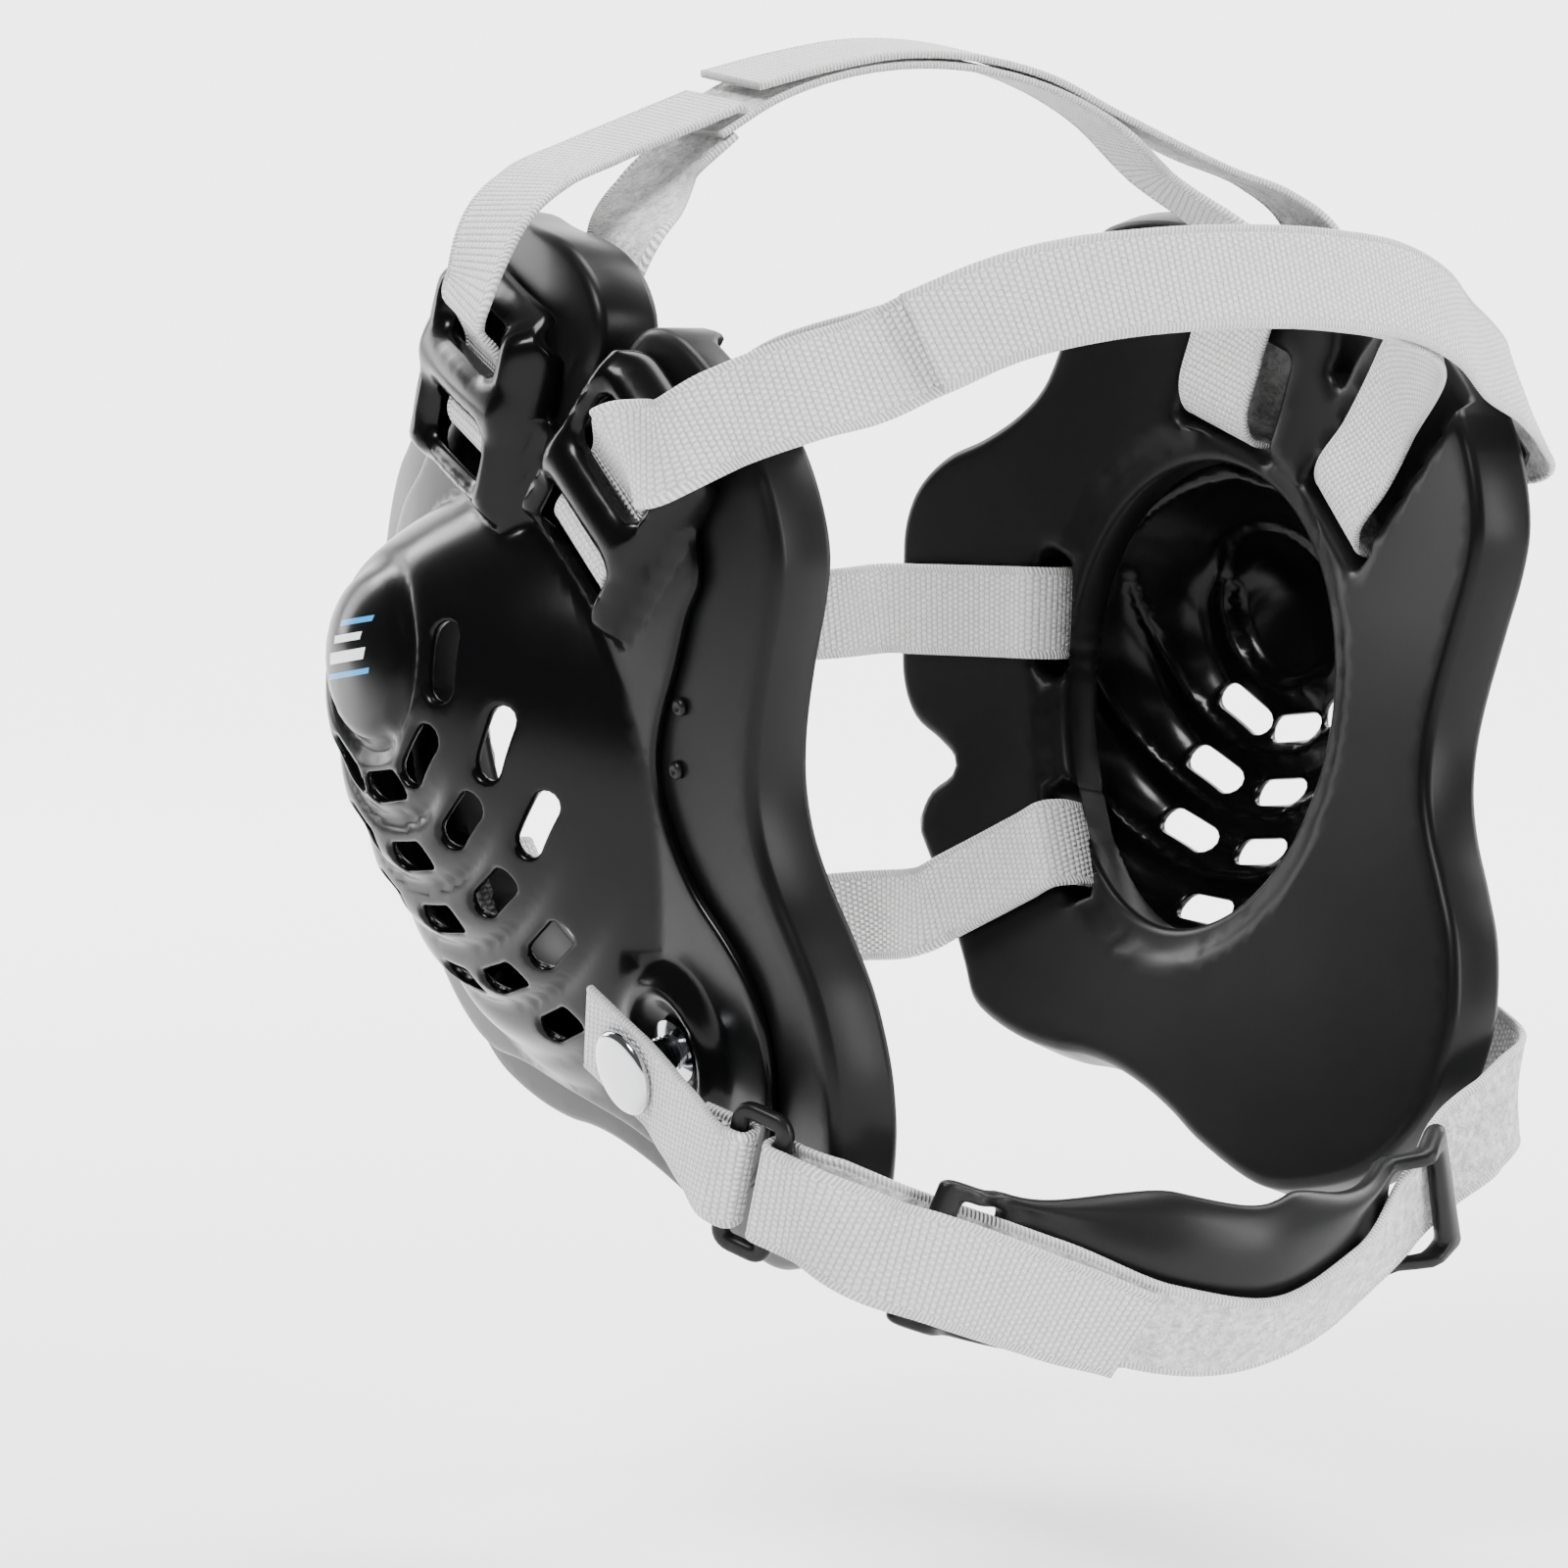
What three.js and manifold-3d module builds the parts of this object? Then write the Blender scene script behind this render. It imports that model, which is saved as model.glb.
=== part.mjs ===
// Wrestling ear guard: two foam pads with moulded shells over the ears, joined by webbing over the crown,
// round the forehead, round the back of the head and under the chin. Millimetres, +Z up. The wearer faces -Y
// and the wearer's left is +X. The origin is where the underside of the top strap rests on the crown.
import * as THREE from "three";
import { mergeVertices } from "three/addons/utils/BufferGeometryUtils.js";
import Module from "manifold-3d";

const wasm = await Module();
wasm.setup();

// Pads
const earGap = 144;
const padLength = 163;
const padHeight = 184;
const foamThickness = 13.6;
const earHole = { halfLength: 37.5, halfHeight: 46, back: -0.004, up: 0.036, leanDegrees: -9 };
const strapRecessDepth = 4;

// Shells
const shellWall = 2.2;
const dome = {
  rise: 24.6, front: 46, rear: 50, top: 50, low: 56, peakBack: 9, peakUp: 24, steepness: 2.1, rearSteepness: 0.5,
};
const domeSlot = { length: 13, width: 5 };
const slotRowSpacing = 12;
const tabRise = 6;
const tabSlope = 5;
const bowl = { radius: 11.5, lip: 5, rise: 3.5 };

// Webbing
const webbing = 19;
const webThickness = 1.5;
const layerStep = 2;
const crownHeight = 131;
const archHalfWidth = 72;
const browHalfWidth = 84;
const browReach = 103;
const browRise = 27.5;
const napeReach = 104;

// Snaps, ring and chin cup
const snapCap = { radius: 8, rise: 2.6, postRadius: 2, socketRadius: 5.5, socketHeight: 3 };
const stud = { footRadius: 6, neckRadius: 3, height: 5.2 };
const ringWire = 3.2;
const ringGap = 6;
const cupHalfWidth = 56;
const cupWall = 2.4;
const cupShift = -7;
const cupWing = { upReach: 10.5, lowReach: 5, bend: 8.5, endReach: 3 };

// Clearances between pieces
const seatGap = 0.4;
const runGap = 1.3;
const slideGap = 1.5;
const fineEdge = 14;
const coarseEdge = 24;
const bowlEdge = 5;

const radians = THREE.MathUtils.degToRad;
const black = new THREE.MeshStandardMaterial({ color: 0x0b0b0c, roughness: 0.25, metalness: 0 });
const foamBlack = new THREE.MeshStandardMaterial({ color: 0x101012, roughness: 0.45, metalness: 0 });
const white = new THREE.MeshStandardMaterial({ color: 0xf2f2f2, roughness: 0.85, metalness: 0 });
const chrome = new THREE.MeshStandardMaterial({ color: 0xd8d8dc, roughness: 0.1, metalness: 1 });

// Inner face of the left pad: how far it stands from the middle plane at a place on the side of the head.
// The face leans, bows and curls; the amounts are shares of half the ear gap.
const faceLean = { back: -0.08, up: 0.235 };
const faceBow = { back: -0.14, up: -0.2, twist: -0.042 };
const faceCurl = { back: -0.044, backUp: -0.141, upBack: -0.119 };

function faceOut(y, z) {
  const back = y / (padLength / 2);
  const up = z / (padHeight / 2);
  const lean = faceLean.back * back + faceLean.up * up;
  const bow = faceBow.back * back ** 2 + faceBow.up * up ** 2 + faceBow.twist * back * up;
  const curl = faceCurl.back * back ** 3 + faceCurl.backUp * back ** 2 * up + faceCurl.upBack * back * up ** 2;
  return (earGap / 2) * (1 + lean + bow + curl);
}

function faceNormal(y, z) {
  const slopeBack = (faceOut(y + 1, z) - faceOut(y - 1, z)) / 2;
  const slopeUp = (faceOut(y, z + 1) - faceOut(y, z - 1)) / 2;
  return new THREE.Vector3(1, -slopeBack, -slopeUp).normalize();
}

// A place on the left guard: back and up on the side of the head, and out from the inner face of the foam
function onGuard(y, z, out) {
  return new THREE.Vector3(faceOut(y, z), y, z).addScaledVector(faceNormal(y, z), out);
}

const shared = (share) => [share[0] * padLength, share[1] * padHeight];

// Closed bodies as solids, and back
function toSolid(geometry) {
  const bare = geometry.clone();
  bare.deleteAttribute("normal");
  bare.deleteAttribute("uv");
  const merged = mergeVertices(bare, 1e-5);
  return new wasm.Manifold(new wasm.Mesh({
    numProp: 3,
    vertProperties: new Float32Array(merged.attributes.position.array),
    triVerts: new Uint32Array(merged.index.array),
  }));
}

function toPolygons(solid) {
  const mesh = solid.getMesh();
  const points = [];
  const faces = [];
  for (let i = 0; i < mesh.vertProperties.length; i += mesh.numProp) {
    points.push([mesh.vertProperties[i], mesh.vertProperties[i + 1], mesh.vertProperties[i + 2]]);
  }
  for (let i = 0; i < mesh.triVerts.length; i += 3) {
    faces.push([mesh.triVerts[i], mesh.triVerts[i + 1], mesh.triVerts[i + 2]]);
  }
  return { points, faces };
}

function toGeometry({ points, faces }) {
  const geometry = new THREE.BufferGeometry();
  geometry.setAttribute("position", new THREE.Float32BufferAttribute(points.flat(), 3));
  geometry.setIndex(faces.flat());
  geometry.computeVertexNormals();
  return geometry;
}

const joined = (solids) => solids.reduce((whole, solid) => whole.add(solid));
const without = (solid, cuts) => cuts.reduce((rest, cut) => rest.subtract(cut), solid);

// A flat plate with the given outline, from one depth to another
function plate(outline, from, to) {
  const shape = new THREE.Shape(outline.map(([y, z]) => new THREE.Vector2(y, z)));
  const geometry = new THREE.ExtrudeGeometry(shape, { depth: to - from, bevelEnabled: false });
  return toSolid(geometry.translate(0, 0, from));
}

// Splits the longest edges until each is within the limit at its middle, so that a flat plate can be bent
function splitEdges({ points, faces }, limitAt) {
  const middleOf = (a, b) => points[a].map((value, axis) => (value + points[b][axis]) / 2);
  for (;;) {
    const edges = new Map();
    faces.forEach((face, index) => {
      face.forEach((from, corner) => {
        const to = face[(corner + 1) % 3];
        const key = from < to ? from * 1e6 + to : to * 1e6 + from;
        if (!edges.has(key)) {
          const length = Math.hypot(points[to][0] - points[from][0], points[to][1] - points[from][1]);
          edges.set(key, { from, to, length, faces: [] });
        }
        edges.get(key).faces.push(index);
      });
    });
    const long = [...edges.values()].filter((edge) => {
      const middle = middleOf(edge.from, edge.to);
      return edge.length > limitAt(middle[0], middle[1]);
    });
    if (long.length === 0) {
      return { points, faces };
    }
    long.sort((one, other) => other.length - one.length);
    const used = new Set();
    for (const edge of long) {
      if (edge.faces.some((index) => used.has(index))) {
        continue;
      }
      const middle = points.push(middleOf(edge.from, edge.to)) - 1;
      for (const index of edge.faces) {
        used.add(index);
        const face = faces[index];
        const corner = face.findIndex((vertex, i) => {
          const next = face[(i + 1) % 3];
          return (vertex === edge.from && next === edge.to) || (vertex === edge.to && next === edge.from);
        });
        const [a, b, c] = [face[corner], face[(corner + 1) % 3], face[(corner + 2) % 3]];
        faces[index] = [a, middle, c];
        faces.push([middle, b, c]);
      }
    }
  }
}

// Bends a flat body: each point's back, up and depth give its place in space
function bent(solid, limitAt, place) {
  const body = splitEdges(toPolygons(solid), limitAt);
  body.points = body.points.map(([y, z, depth]) => place(y, z, depth).toArray());
  return toGeometry(body);
}

function circle(y, z, radius, sides) {
  return Array.from({ length: sides }, (_, i) => {
    const turn = (2 * Math.PI * i) / sides;
    return [y + radius * Math.cos(turn), z + radius * Math.sin(turn)];
  });
}

// A slot with round ends along a direction, as an outline
function slotOutline([y, z], length, width, turn, endSides = 4) {
  const half = (length - width) / 2;
  const ends = [0, Math.PI].flatMap((end) => {
    return Array.from({ length: endSides }, (_, i) => {
      const angle = end - Math.PI / 2 + (Math.PI * i) / (endSides - 1);
      const along = (end === 0 ? half : -half) + (width / 2) * Math.cos(angle);
      const aside = (width / 2) * Math.sin(angle);
      return [along, aside];
    });
  });
  return ends.map(([along, aside]) => [
    y + along * Math.cos(turn) - aside * Math.sin(turn),
    z + along * Math.sin(turn) + aside * Math.cos(turn),
  ]);
}

// The two tabs that hold straps. Each has its middle, the way its strap runs, and what it holds along that way
const barHalf = 4.5;
const tower = {
  middle: shared([-0.028, 0.38]),
  runDegrees: 111,
  halfAcross: webbing / 2 + slideGap + 9,
  rear: -22,
  front: 18,
  rearWindow: [-15, -barHalf],
  frontWindow: [barHalf, 13.5],
  foamSlot: [-13, 10],
  foamSlotShift: -2.5,
};
const brow = {
  middle: shared([-0.274, 0.279]),
  runDegrees: 134.5,
  halfAcross: webbing / 2 + slideGap + 6,
  rear: -19,
  front: 24,
  rearWindow: [-17, -barHalf],
  frontWindow: [barHalf, 16],
  foamSlot: [-14.5, -7],
  foamSlotShift: 0,
};

// A place on a tab, from its middle: along its strap's run, and across it
function onTab(tab, along, across) {
  const run = radians(tab.runDegrees);
  return [
    tab.middle[0] + along * Math.cos(run) + across * Math.sin(run),
    tab.middle[1] + along * Math.sin(run) - across * Math.cos(run),
  ];
}

function inTab(tab, y, z) {
  const run = radians(tab.runDegrees);
  const [dy, dz] = [y - tab.middle[0], z - tab.middle[1]];
  return { along: dy * Math.cos(run) + dz * Math.sin(run), across: dy * Math.sin(run) - dz * Math.cos(run) };
}

function tabBox(tab, [from, to], halfAcross, shift = 0) {
  return [
    onTab(tab, from, shift - halfAcross),
    onTab(tab, from, shift + halfAcross),
    onTab(tab, to, shift + halfAcross),
    onTab(tab, to, shift - halfAcross),
  ];
}

// A tab's own outline, with its corners cut by a share of its width
function tabOutline(tab) {
  const cut = tab.halfAcross * 0.3;
  return [
    onTab(tab, tab.rear, -tab.halfAcross),
    onTab(tab, tab.rear, tab.halfAcross),
    onTab(tab, tab.front - cut, tab.halfAcross),
    onTab(tab, tab.front, tab.halfAcross - cut),
    onTab(tab, tab.front, cut - tab.halfAcross),
    onTab(tab, tab.front - cut, -tab.halfAcross),
  ];
}

// Pad outline from the top lobe's front corner, by the front edge, the tip and the back edge, as shares of
// the pad's length (back) and height (up)
const padOutline = [
  [-0.02, 0.535], [-0.13, 0.517], [-0.19, 0.49], [-0.222, 0.45], [-0.22, 0.41], [-0.205, 0.385],
  [-0.226, 0.372], [-0.258, 0.408], [-0.3, 0.436], [-0.35, 0.43], [-0.4, 0.4], [-0.445, 0.36],
  [-0.478, 0.315], [-0.498, 0.268], [-0.505, 0.225], [-0.495, 0.18], [-0.473, 0.125], [-0.45, 0.06],
  [-0.44, 0.008], [-0.444, -0.04], [-0.462, -0.085], [-0.493, -0.135], [-0.52, -0.185], [-0.534, -0.24],
  [-0.535, -0.285], [-0.523, -0.335], [-0.49, -0.39], [-0.435, -0.435], [-0.355, -0.457], [-0.282, -0.459],
  [-0.18, -0.428], [-0.114, -0.4], [-0.054, -0.379], [0.005, -0.364], [0.06, -0.357], [0.113, -0.356],
  [0.177, -0.348], [0.237, -0.332], [0.274, -0.314], [0.301, -0.283], [0.341, -0.236], [0.42, -0.142],
  [0.423, -0.12], [0.412, -0.094], [0.385, -0.074], [0.385, -0.055], [0.41, -0.036], [0.447, -0.012],
  [0.466, 0.03], [0.467, 0.09], [0.462, 0.16], [0.453, 0.208], [0.43, 0.25], [0.39, 0.283],
  [0.34, 0.304], [0.29, 0.332], [0.25, 0.366], [0.215, 0.42], [0.178, 0.482], [0.148, 0.53],
  [0.11, 0.545], [0.05, 0.547],
];

// Anchors of the straps round the back: slot middle and the way the strap runs to the rear
const backAnchors = {
  upper: { middle: shared([0.252, 0.112]), runDegrees: 0 },
  lower: { middle: shared([0.18, -0.136]), runDegrees: -28 },
};
const anchorSlot = { length: webbing + 2 * slideGap + 4, width: 6.4 };
const anchorRecess = { length: 17, depth: webThickness + 3 * seatGap };

function padCuts() {
  const through = [-1, foamThickness + 1];
  const [holeY, holeZ] = shared([earHole.back, earHole.up]);
  const lean = radians(earHole.leanDegrees);
  const hole = circle(0, 0, 1, 26).map(([a, b]) => {
    const [y, z] = [a * earHole.halfLength, b * earHole.halfHeight];
    return [holeY + y * Math.cos(lean) - z * Math.sin(lean), holeZ + y * Math.sin(lean) + z * Math.cos(lean)];
  });
  const slots = [tower, brow].map((tab) => {
    return tabBox(tab, tab.foamSlot, webbing / 2 + 2 * slideGap, tab.foamSlotShift);
  });
  const recess = tabBox(brow, [brow.foamSlot[1] - 2, 60], webbing / 2 + slideGap);
  const anchors = Object.values(backAnchors).flatMap(({ middle, runDegrees }) => {
    const run = { middle, runDegrees };
    const seat = tabBox(run, [-1, anchorRecess.length], webbing / 2 + slideGap);
    return [
      plate(slotOutline(middle, anchorSlot.length, anchorSlot.width, radians(runDegrees + 90)), ...through),
      plate(seat, foamThickness - anchorRecess.depth, foamThickness + 1),
    ];
  });
  return [plate(hole, ...through), ...slots.map((slot) => plate(slot, ...through)),
    plate(recess, -1, strapRecessDepth), ...anchors];
}

function padGeometry() {
  const block = plate(padOutline.map(shared), 0, foamThickness);
  return bent(without(block, padCuts()), () => coarseEdge, onGuard);
}

// Shell: a sheet over the pad. Its outline is a flange round the dome, the two tabs and the snap corner
const shellSeat = foamThickness + seatGap;
const flangeOutline = [
  [0.19, 0.285], [0.08, 0.35], [-0.2, 0.34], [-0.36, 0.3], [-0.395, 0.215], [-0.37, 0.178], [-0.342, 0.125],
  [-0.304, 0.066], [-0.291, 0.02], [-0.304, -0.035], [-0.335, -0.086], [-0.376, -0.124], [-0.412, -0.164],
  [-0.43, -0.21], [-0.428, -0.265], [-0.4, -0.32], [-0.345, -0.365], [-0.27, -0.38], [-0.19, -0.362],
  [-0.12, -0.345], [-0.066, -0.33], [0.06, -0.308], [0.146, -0.292], [0.234, -0.285], [0.29, -0.25],
  [0.33, -0.18], [0.355, -0.09], [0.36, 0], [0.35, 0.1], [0.31, 0.19], [0.255, 0.25],
];
const snapMiddle = shared([-0.252, -0.239]);

const smoothStep = (from, to, value) => THREE.MathUtils.smoothstep(value, from, to);

// Share of the way from the dome's peak to its foot, and how far round from the rear
function domePolar(y, z) {
  const [dy, dz] = [y - dome.peakBack, z - dome.peakUp];
  const reach = Math.hypot(dy, dz);
  if (reach < 1e-6) {
    return { share: 0, rearward: 1 };
  }
  const halfLength = (dome.front + dome.rear) / 2;
  const halfHeight = (dome.top + dome.low) / 2;
  const offY = dome.peakBack - (dome.rear - dome.front) / 2;
  const offZ = dome.peakUp - (dome.top - dome.low) / 2;
  const a = (dy / halfLength) ** 2 + (dz / halfHeight) ** 2;
  const b = 2 * ((dy * offY) / halfLength ** 2 + (dz * offZ) / halfHeight ** 2);
  const c = (offY / halfLength) ** 2 + (offZ / halfHeight) ** 2 - 1;
  return { share: (2 * a) / (Math.sqrt(b * b - 4 * a * c) - b), rearward: dy / reach };
}

// The dome swells to its peak, steeper at the rear
function domeRise(y, z) {
  const { share, rearward } = domePolar(y, z);
  const power = dome.steepness + dome.rearSteepness * rearward;
  return share < 1 ? dome.rise * (1 - share ** power) : 0;
}

// A tab stands up from its edge over the width of its slope
function tabHeight(tab, y, z) {
  const { along, across } = inTab(tab, y, z);
  const inset = Math.min(along - tab.rear, tab.front - along, tab.halfAcross - Math.abs(across));
  return tabRise * smoothStep(0, tabSlope, inset);
}

// The snap sits in a bowl: a raised lip round a hollow that goes down to the flange
function bowlHeight(reach) {
  return bowl.rise * (1 - smoothStep(bowl.radius, bowl.radius + bowl.lip, reach));
}

// Height of the shell's outer face over its flange
function shellRise(y, z) {
  const reach = Math.hypot(y - snapMiddle[0], z - snapMiddle[1]);
  const hump = Math.max(domeRise(y, z), tabHeight(tower, y, z), tabHeight(brow, y, z), bowlHeight(reach));
  return hump * smoothStep(bowl.radius * 0.45, bowl.radius, reach);
}

function shellTop(y, z) {
  return shellSeat + shellWall + shellRise(y, z);
}

function shellUnder(y, z) {
  const slopeBack = (shellRise(y + 1, z) - shellRise(y - 1, z)) / 2;
  const slopeUp = (shellRise(y, z + 1) - shellRise(y, z - 1)) / 2;
  const wall = shellWall * Math.min(1.7, Math.hypot(1, slopeBack, slopeUp));
  return Math.max(shellSeat, shellTop(y, z) - wall);
}

// Rows of slots round the peak: how many spacings out, and how far round each slot is from the rear, in degrees
const slotRows = [
  { ring: 1.75, turns: [179, -135, -98, -62] },
  { ring: 2.75, turns: [-157, -129, -96, -66] },
  { ring: 3.7, turns: [-143, -120, -95, -71] },
  { ring: 4.7, turns: [-121, -103, -87] },
  { ring: 5.6, turns: [-107] },
];

function domeSlots() {
  return slotRows.flatMap(({ ring, turns }) => turns.map((turn) => {
    const reach = ring * slotRowSpacing;
    const angle = radians(turn);
    const middle = [dome.peakBack + reach * Math.cos(angle), dome.peakUp + reach * Math.sin(angle)];
    return slotOutline(middle, domeSlot.length, domeSlot.width, angle + Math.PI / 2, 3);
  }));
}

function shellGeometry() {
  const windows = [tower, brow].flatMap((tab) => [tab.rearWindow, tab.frontWindow].map((window) => {
    return tabBox(tab, window, webbing / 2 + slideGap);
  }));
  const outline = [flangeOutline.map(shared), tabOutline(tower), tabOutline(brow)];
  const sheet = joined(outline.map((part) => plate(part, 0, 1)));
  const open = without(sheet, [...domeSlots(), ...windows].map((hole) => plate(hole, -1, 2)));
  const limitAt = (y, z) => {
    const inBowl = Math.hypot(y - snapMiddle[0], z - snapMiddle[1]) < bowl.radius + bowl.lip;
    return inBowl ? bowlEdge : (shellRise(y, z) > 0.5 ? fineEdge : coarseEdge);
  };
  return bent(open, limitAt, (y, z, depth) => {
    return onGuard(y, z, depth > 0.5 ? shellTop(y, z) : shellUnder(y, z));
  });
}

// Webbing: stations along its middle, each with its place and the way its width lies
function webbingPath(stations) {
  const middle = new THREE.CatmullRomCurve3(stations.map((station) => station.at), false, "centripetal");
  const spans = stations.length - 1;
  return (t) => {
    const span = Math.min(Math.floor(t * spans), spans - 1);
    const share = smoothStep(0, 1, t * spans - span);
    const across = stations[span].across.clone().lerp(stations[span + 1].across, share);
    const run = middle.getPoint(Math.min(1, t + 1e-3)).sub(middle.getPoint(Math.max(0, t - 1e-3))).normalize();
    across.addScaledVector(run, -across.dot(run)).normalize();
    return { at: middle.getPoint(t), run, across, face: new THREE.Vector3().crossVectors(run, across) };
  };
}

function ribbon(stations, width, thickness, steps) {
  const path = webbingPath(stations);
  const count = (stations.length - 1) * steps;
  const rings = Array.from({ length: count + 1 }, (_, i) => {
    const { at, across, face } = path(i / count);
    return [[-1, -1], [1, -1], [1, 1], [-1, 1]].map(([side, level]) => {
      const corner = at.clone().addScaledVector(across, (side * width) / 2);
      return corner.addScaledVector(face, (level * thickness) / 2).toArray();
    });
  });
  const points = rings.flat();
  const faces = [[0, 2, 1], [0, 3, 2]];
  for (let i = 0; i + 1 < rings.length; i += 1) {
    for (let side = 0; side < 4; side += 1) {
      const [a, b] = [4 * i + side, 4 * i + ((side + 1) % 4)];
      faces.push([a, b, b + 4], [a, b + 4, a + 4]);
    }
  }
  const last = points.length - 4;
  faces.push([last, last + 1, last + 2], [last, last + 2, last + 3]);
  return toGeometry({ points, faces });
}

const mirror = (vector, side) => new THREE.Vector3(vector.x * side, vector.y, vector.z);

// A station on the guard of one side, with its width along a direction on the side of the head
function guardStation(side, [y, z], out, [wideY, wideZ]) {
  const at = onGuard(y, z, out);
  const across = onGuard(y + wideY, z + wideZ, out).sub(at).normalize();
  return { at: mirror(at, side), across: mirror(across, side) };
}

function headStation(side, x, y, z, wide) {
  return { at: new THREE.Vector3(x * side, y, z), across: mirror(new THREE.Vector3(...wide), side) };
}

// How a strap loops through a tab: out of the foam slot, back behind the bar and over the tab's front edge, where
// it may veer across the tab
const behindBar = (shellSeat + foamThickness + tabRise) / 2 + 0.2;
const overTab = shellSeat + shellWall + tabRise + webThickness / 2 + runGap;
const innerRun = -webThickness / 2 - runGap;

function tabLoop(side, tab, exit, veer) {
  const slot = tab.foamSlot[0] + webThickness + slideGap;
  const rows = [
    { along: exit, out: innerRun - layerStep },
    { along: (exit + slot) / 2, out: innerRun },
    { along: slot + 7, out: innerRun },
    { along: slot + 1.6, out: foamThickness * 0.1 },
    { along: slot, out: foamThickness * 0.45 },
    { along: slot, out: foamThickness * 0.85 },
    { along: slot + 2, out: behindBar - 0.8 },
    { along: slot + 6.5, out: behindBar },
    { along: tab.frontWindow[0] - 0.5, out: behindBar - 0.5 },
    { along: (tab.frontWindow[0] + tab.frontWindow[1]) / 2, out: (behindBar + overTab) / 2 - 0.3 },
    { along: tab.frontWindow[1] - 1.4, out: overTab + 0.3, across: -0.35 * veer },
    { along: tab.front - 0.35 * veer, out: overTab, across: -veer },
  ];
  const wide = [Math.sin(radians(tab.runDegrees)), -Math.cos(radians(tab.runDegrees))];
  return rows.map(({ along, out, across = 0 }) => guardStation(side, onTab(tab, along, across), out, wide));
}

// Over the crown: a quarter ellipse from beside the pad's top lobe to the crown, on each side
const archFoot = shared([0, 0.435])[1];
const archWide = [0, 0.98, 0.17];
const archBack = -3;
const padTop = shared([0, 0.547])[1];
const towerExit = 26;

function archStation(side, degrees, layer) {
  const turn = radians(degrees);
  const lift = layer * layerStep;
  const x = (archHalfWidth + lift) * Math.sin(turn);
  const z = archFoot + (crownHeight - archFoot + lift) * Math.cos(turn);
  return headStation(side, x, archBack, z, archWide);
}

// One length of the top strap, from its inner end to its outer end
function topStrap(side, innerDegrees, innerLayer, outerDegrees, lift) {
  const inner = [];
  for (let turn = innerDegrees; turn < 66; turn += 14) {
    inner.push(archStation(side, turn, innerLayer));
  }
  const outer = [];
  for (let turn = outerDegrees; turn < 40; turn += 14) {
    outer.push(archStation(side, turn, 1));
  }
  outer[0].at.z += lift;
  const lobe = onGuard(archBack, padTop, foamThickness);
  const bridge = [
    headStation(side, lobe.x + 8.5, archBack - 5, lobe.z - 2.5, archWide),
    headStation(side, lobe.x - 1, archBack - 3, lobe.z + 4.5, archWide),
    headStation(side, lobe.x - 16, archBack, lobe.z + 10, archWide),
  ];
  return [...inner, ...tabLoop(side, tower, towerExit, 0), ...bridge, ...outer.reverse()];
}

// Round the forehead: half an ellipse that rises from the pads' front corners to the brow, and sags near them
const browFoot = { back: shared([-0.368, 0])[0], up: shared([0, 0.337])[1] };
const browSag = 5;
const browVeer = 8.5;

function browStation(side, degrees, layer) {
  const turn = radians(degrees);
  const lift = layer * layerStep;
  const x = (browHalfWidth + lift) * Math.sin(turn);
  const y = browFoot.back - (browReach + browFoot.back + lift) * Math.cos(turn);
  const z = browFoot.up + browRise * Math.cos(turn) - browSag * smoothStep(25, 60, Math.abs(degrees));
  return headStation(side, x, y, z, [0, 0.3, 0.95]);
}

function frontStrap(side, innerDegrees, outerDegrees, outerLayer) {
  const inner = [];
  for (let turn = innerDegrees; turn < 50; turn += 12) {
    inner.push(browStation(side, turn, 0));
  }
  const outer = [];
  for (let turn = outerDegrees; turn < 56; turn += 12) {
    outer.push(browStation(side, turn, outerLayer));
  }
  const corner = onGuard(...onTab(brow, brow.front + 6, -browVeer), overTab - 2);
  const bridge = [
    headStation(side, corner.x - 6, corner.y - 1, corner.z - 1, [0, 0.5, 0.86]),
    headStation(side, corner.x - 17, corner.y - 9, corner.z + 4, [0, 0.4, 0.91]),
  ];
  return [...inner, ...tabLoop(side, brow, 23, browVeer), ...bridge, ...outer.reverse()];
}

// Round the back of the head: from one guard's foam slot to the other's
function backStrap({ middle, runDegrees }, backUp) {
  const anchor = { middle, runDegrees };
  const seat = foamThickness - anchorRecess.depth / 2;
  const rows = [
    { along: anchorRecess.length - 2, out: seat },
    { along: 7, out: seat },
    { along: 3.4, out: seat },
    { along: 0.6, out: foamThickness * 0.72 },
    { along: 0, out: foamThickness * 0.4 },
    { along: 0.6, out: foamThickness * 0.08 },
    { along: 3.2, out: innerRun },
    { along: 9, out: innerRun },
    { along: 19, out: innerRun },
    { along: 29, out: innerRun },
    { along: 37, out: innerRun },
  ];
  const wide = [Math.sin(radians(-runDegrees)), Math.cos(radians(-runDegrees))];
  const half = (side) => rows.map(({ along, out }) => {
    return guardStation(side, onTab(anchor, along, 0), out, wide);
  });
  const leave = half(1)[rows.length - 1].at;
  const arc = [-66, -44, -22, 0, 22, 44, 66].map((degrees) => {
    const turn = radians(degrees);
    const x = leave.x * 1.02 * Math.sin(turn);
    const y = leave.y + (napeReach - leave.y) * Math.cos(turn);
    const z = leave.z + (backUp - leave.z) * Math.cos(turn);
    return headStation(1, x, y, z, [0, 0, 1]);
  });
  return [...half(-1), ...arc, ...half(1).reverse()];
}

// Under the chin. The loop runs from the right snap by the ring, the cup's right bar, the middle of the chin
// and the cup's left bar to the left snap. A station's x is a share of the cup's half width, or of half the ear
// gap where it lies past the cup
const under = webThickness / 2 + seatGap;
const studFoot = shellSeat + shellWall + seatGap * 1.5;
const snapOut = studFoot + stud.height + seatGap + snapCap.socketHeight + under;
const snapAxis = { at: onGuard(...snapMiddle, 0), way: faceNormal(...snapMiddle) };
const onSnap = (out) => snapAxis.at.clone().addScaledVector(snapAxis.way, out);

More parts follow.
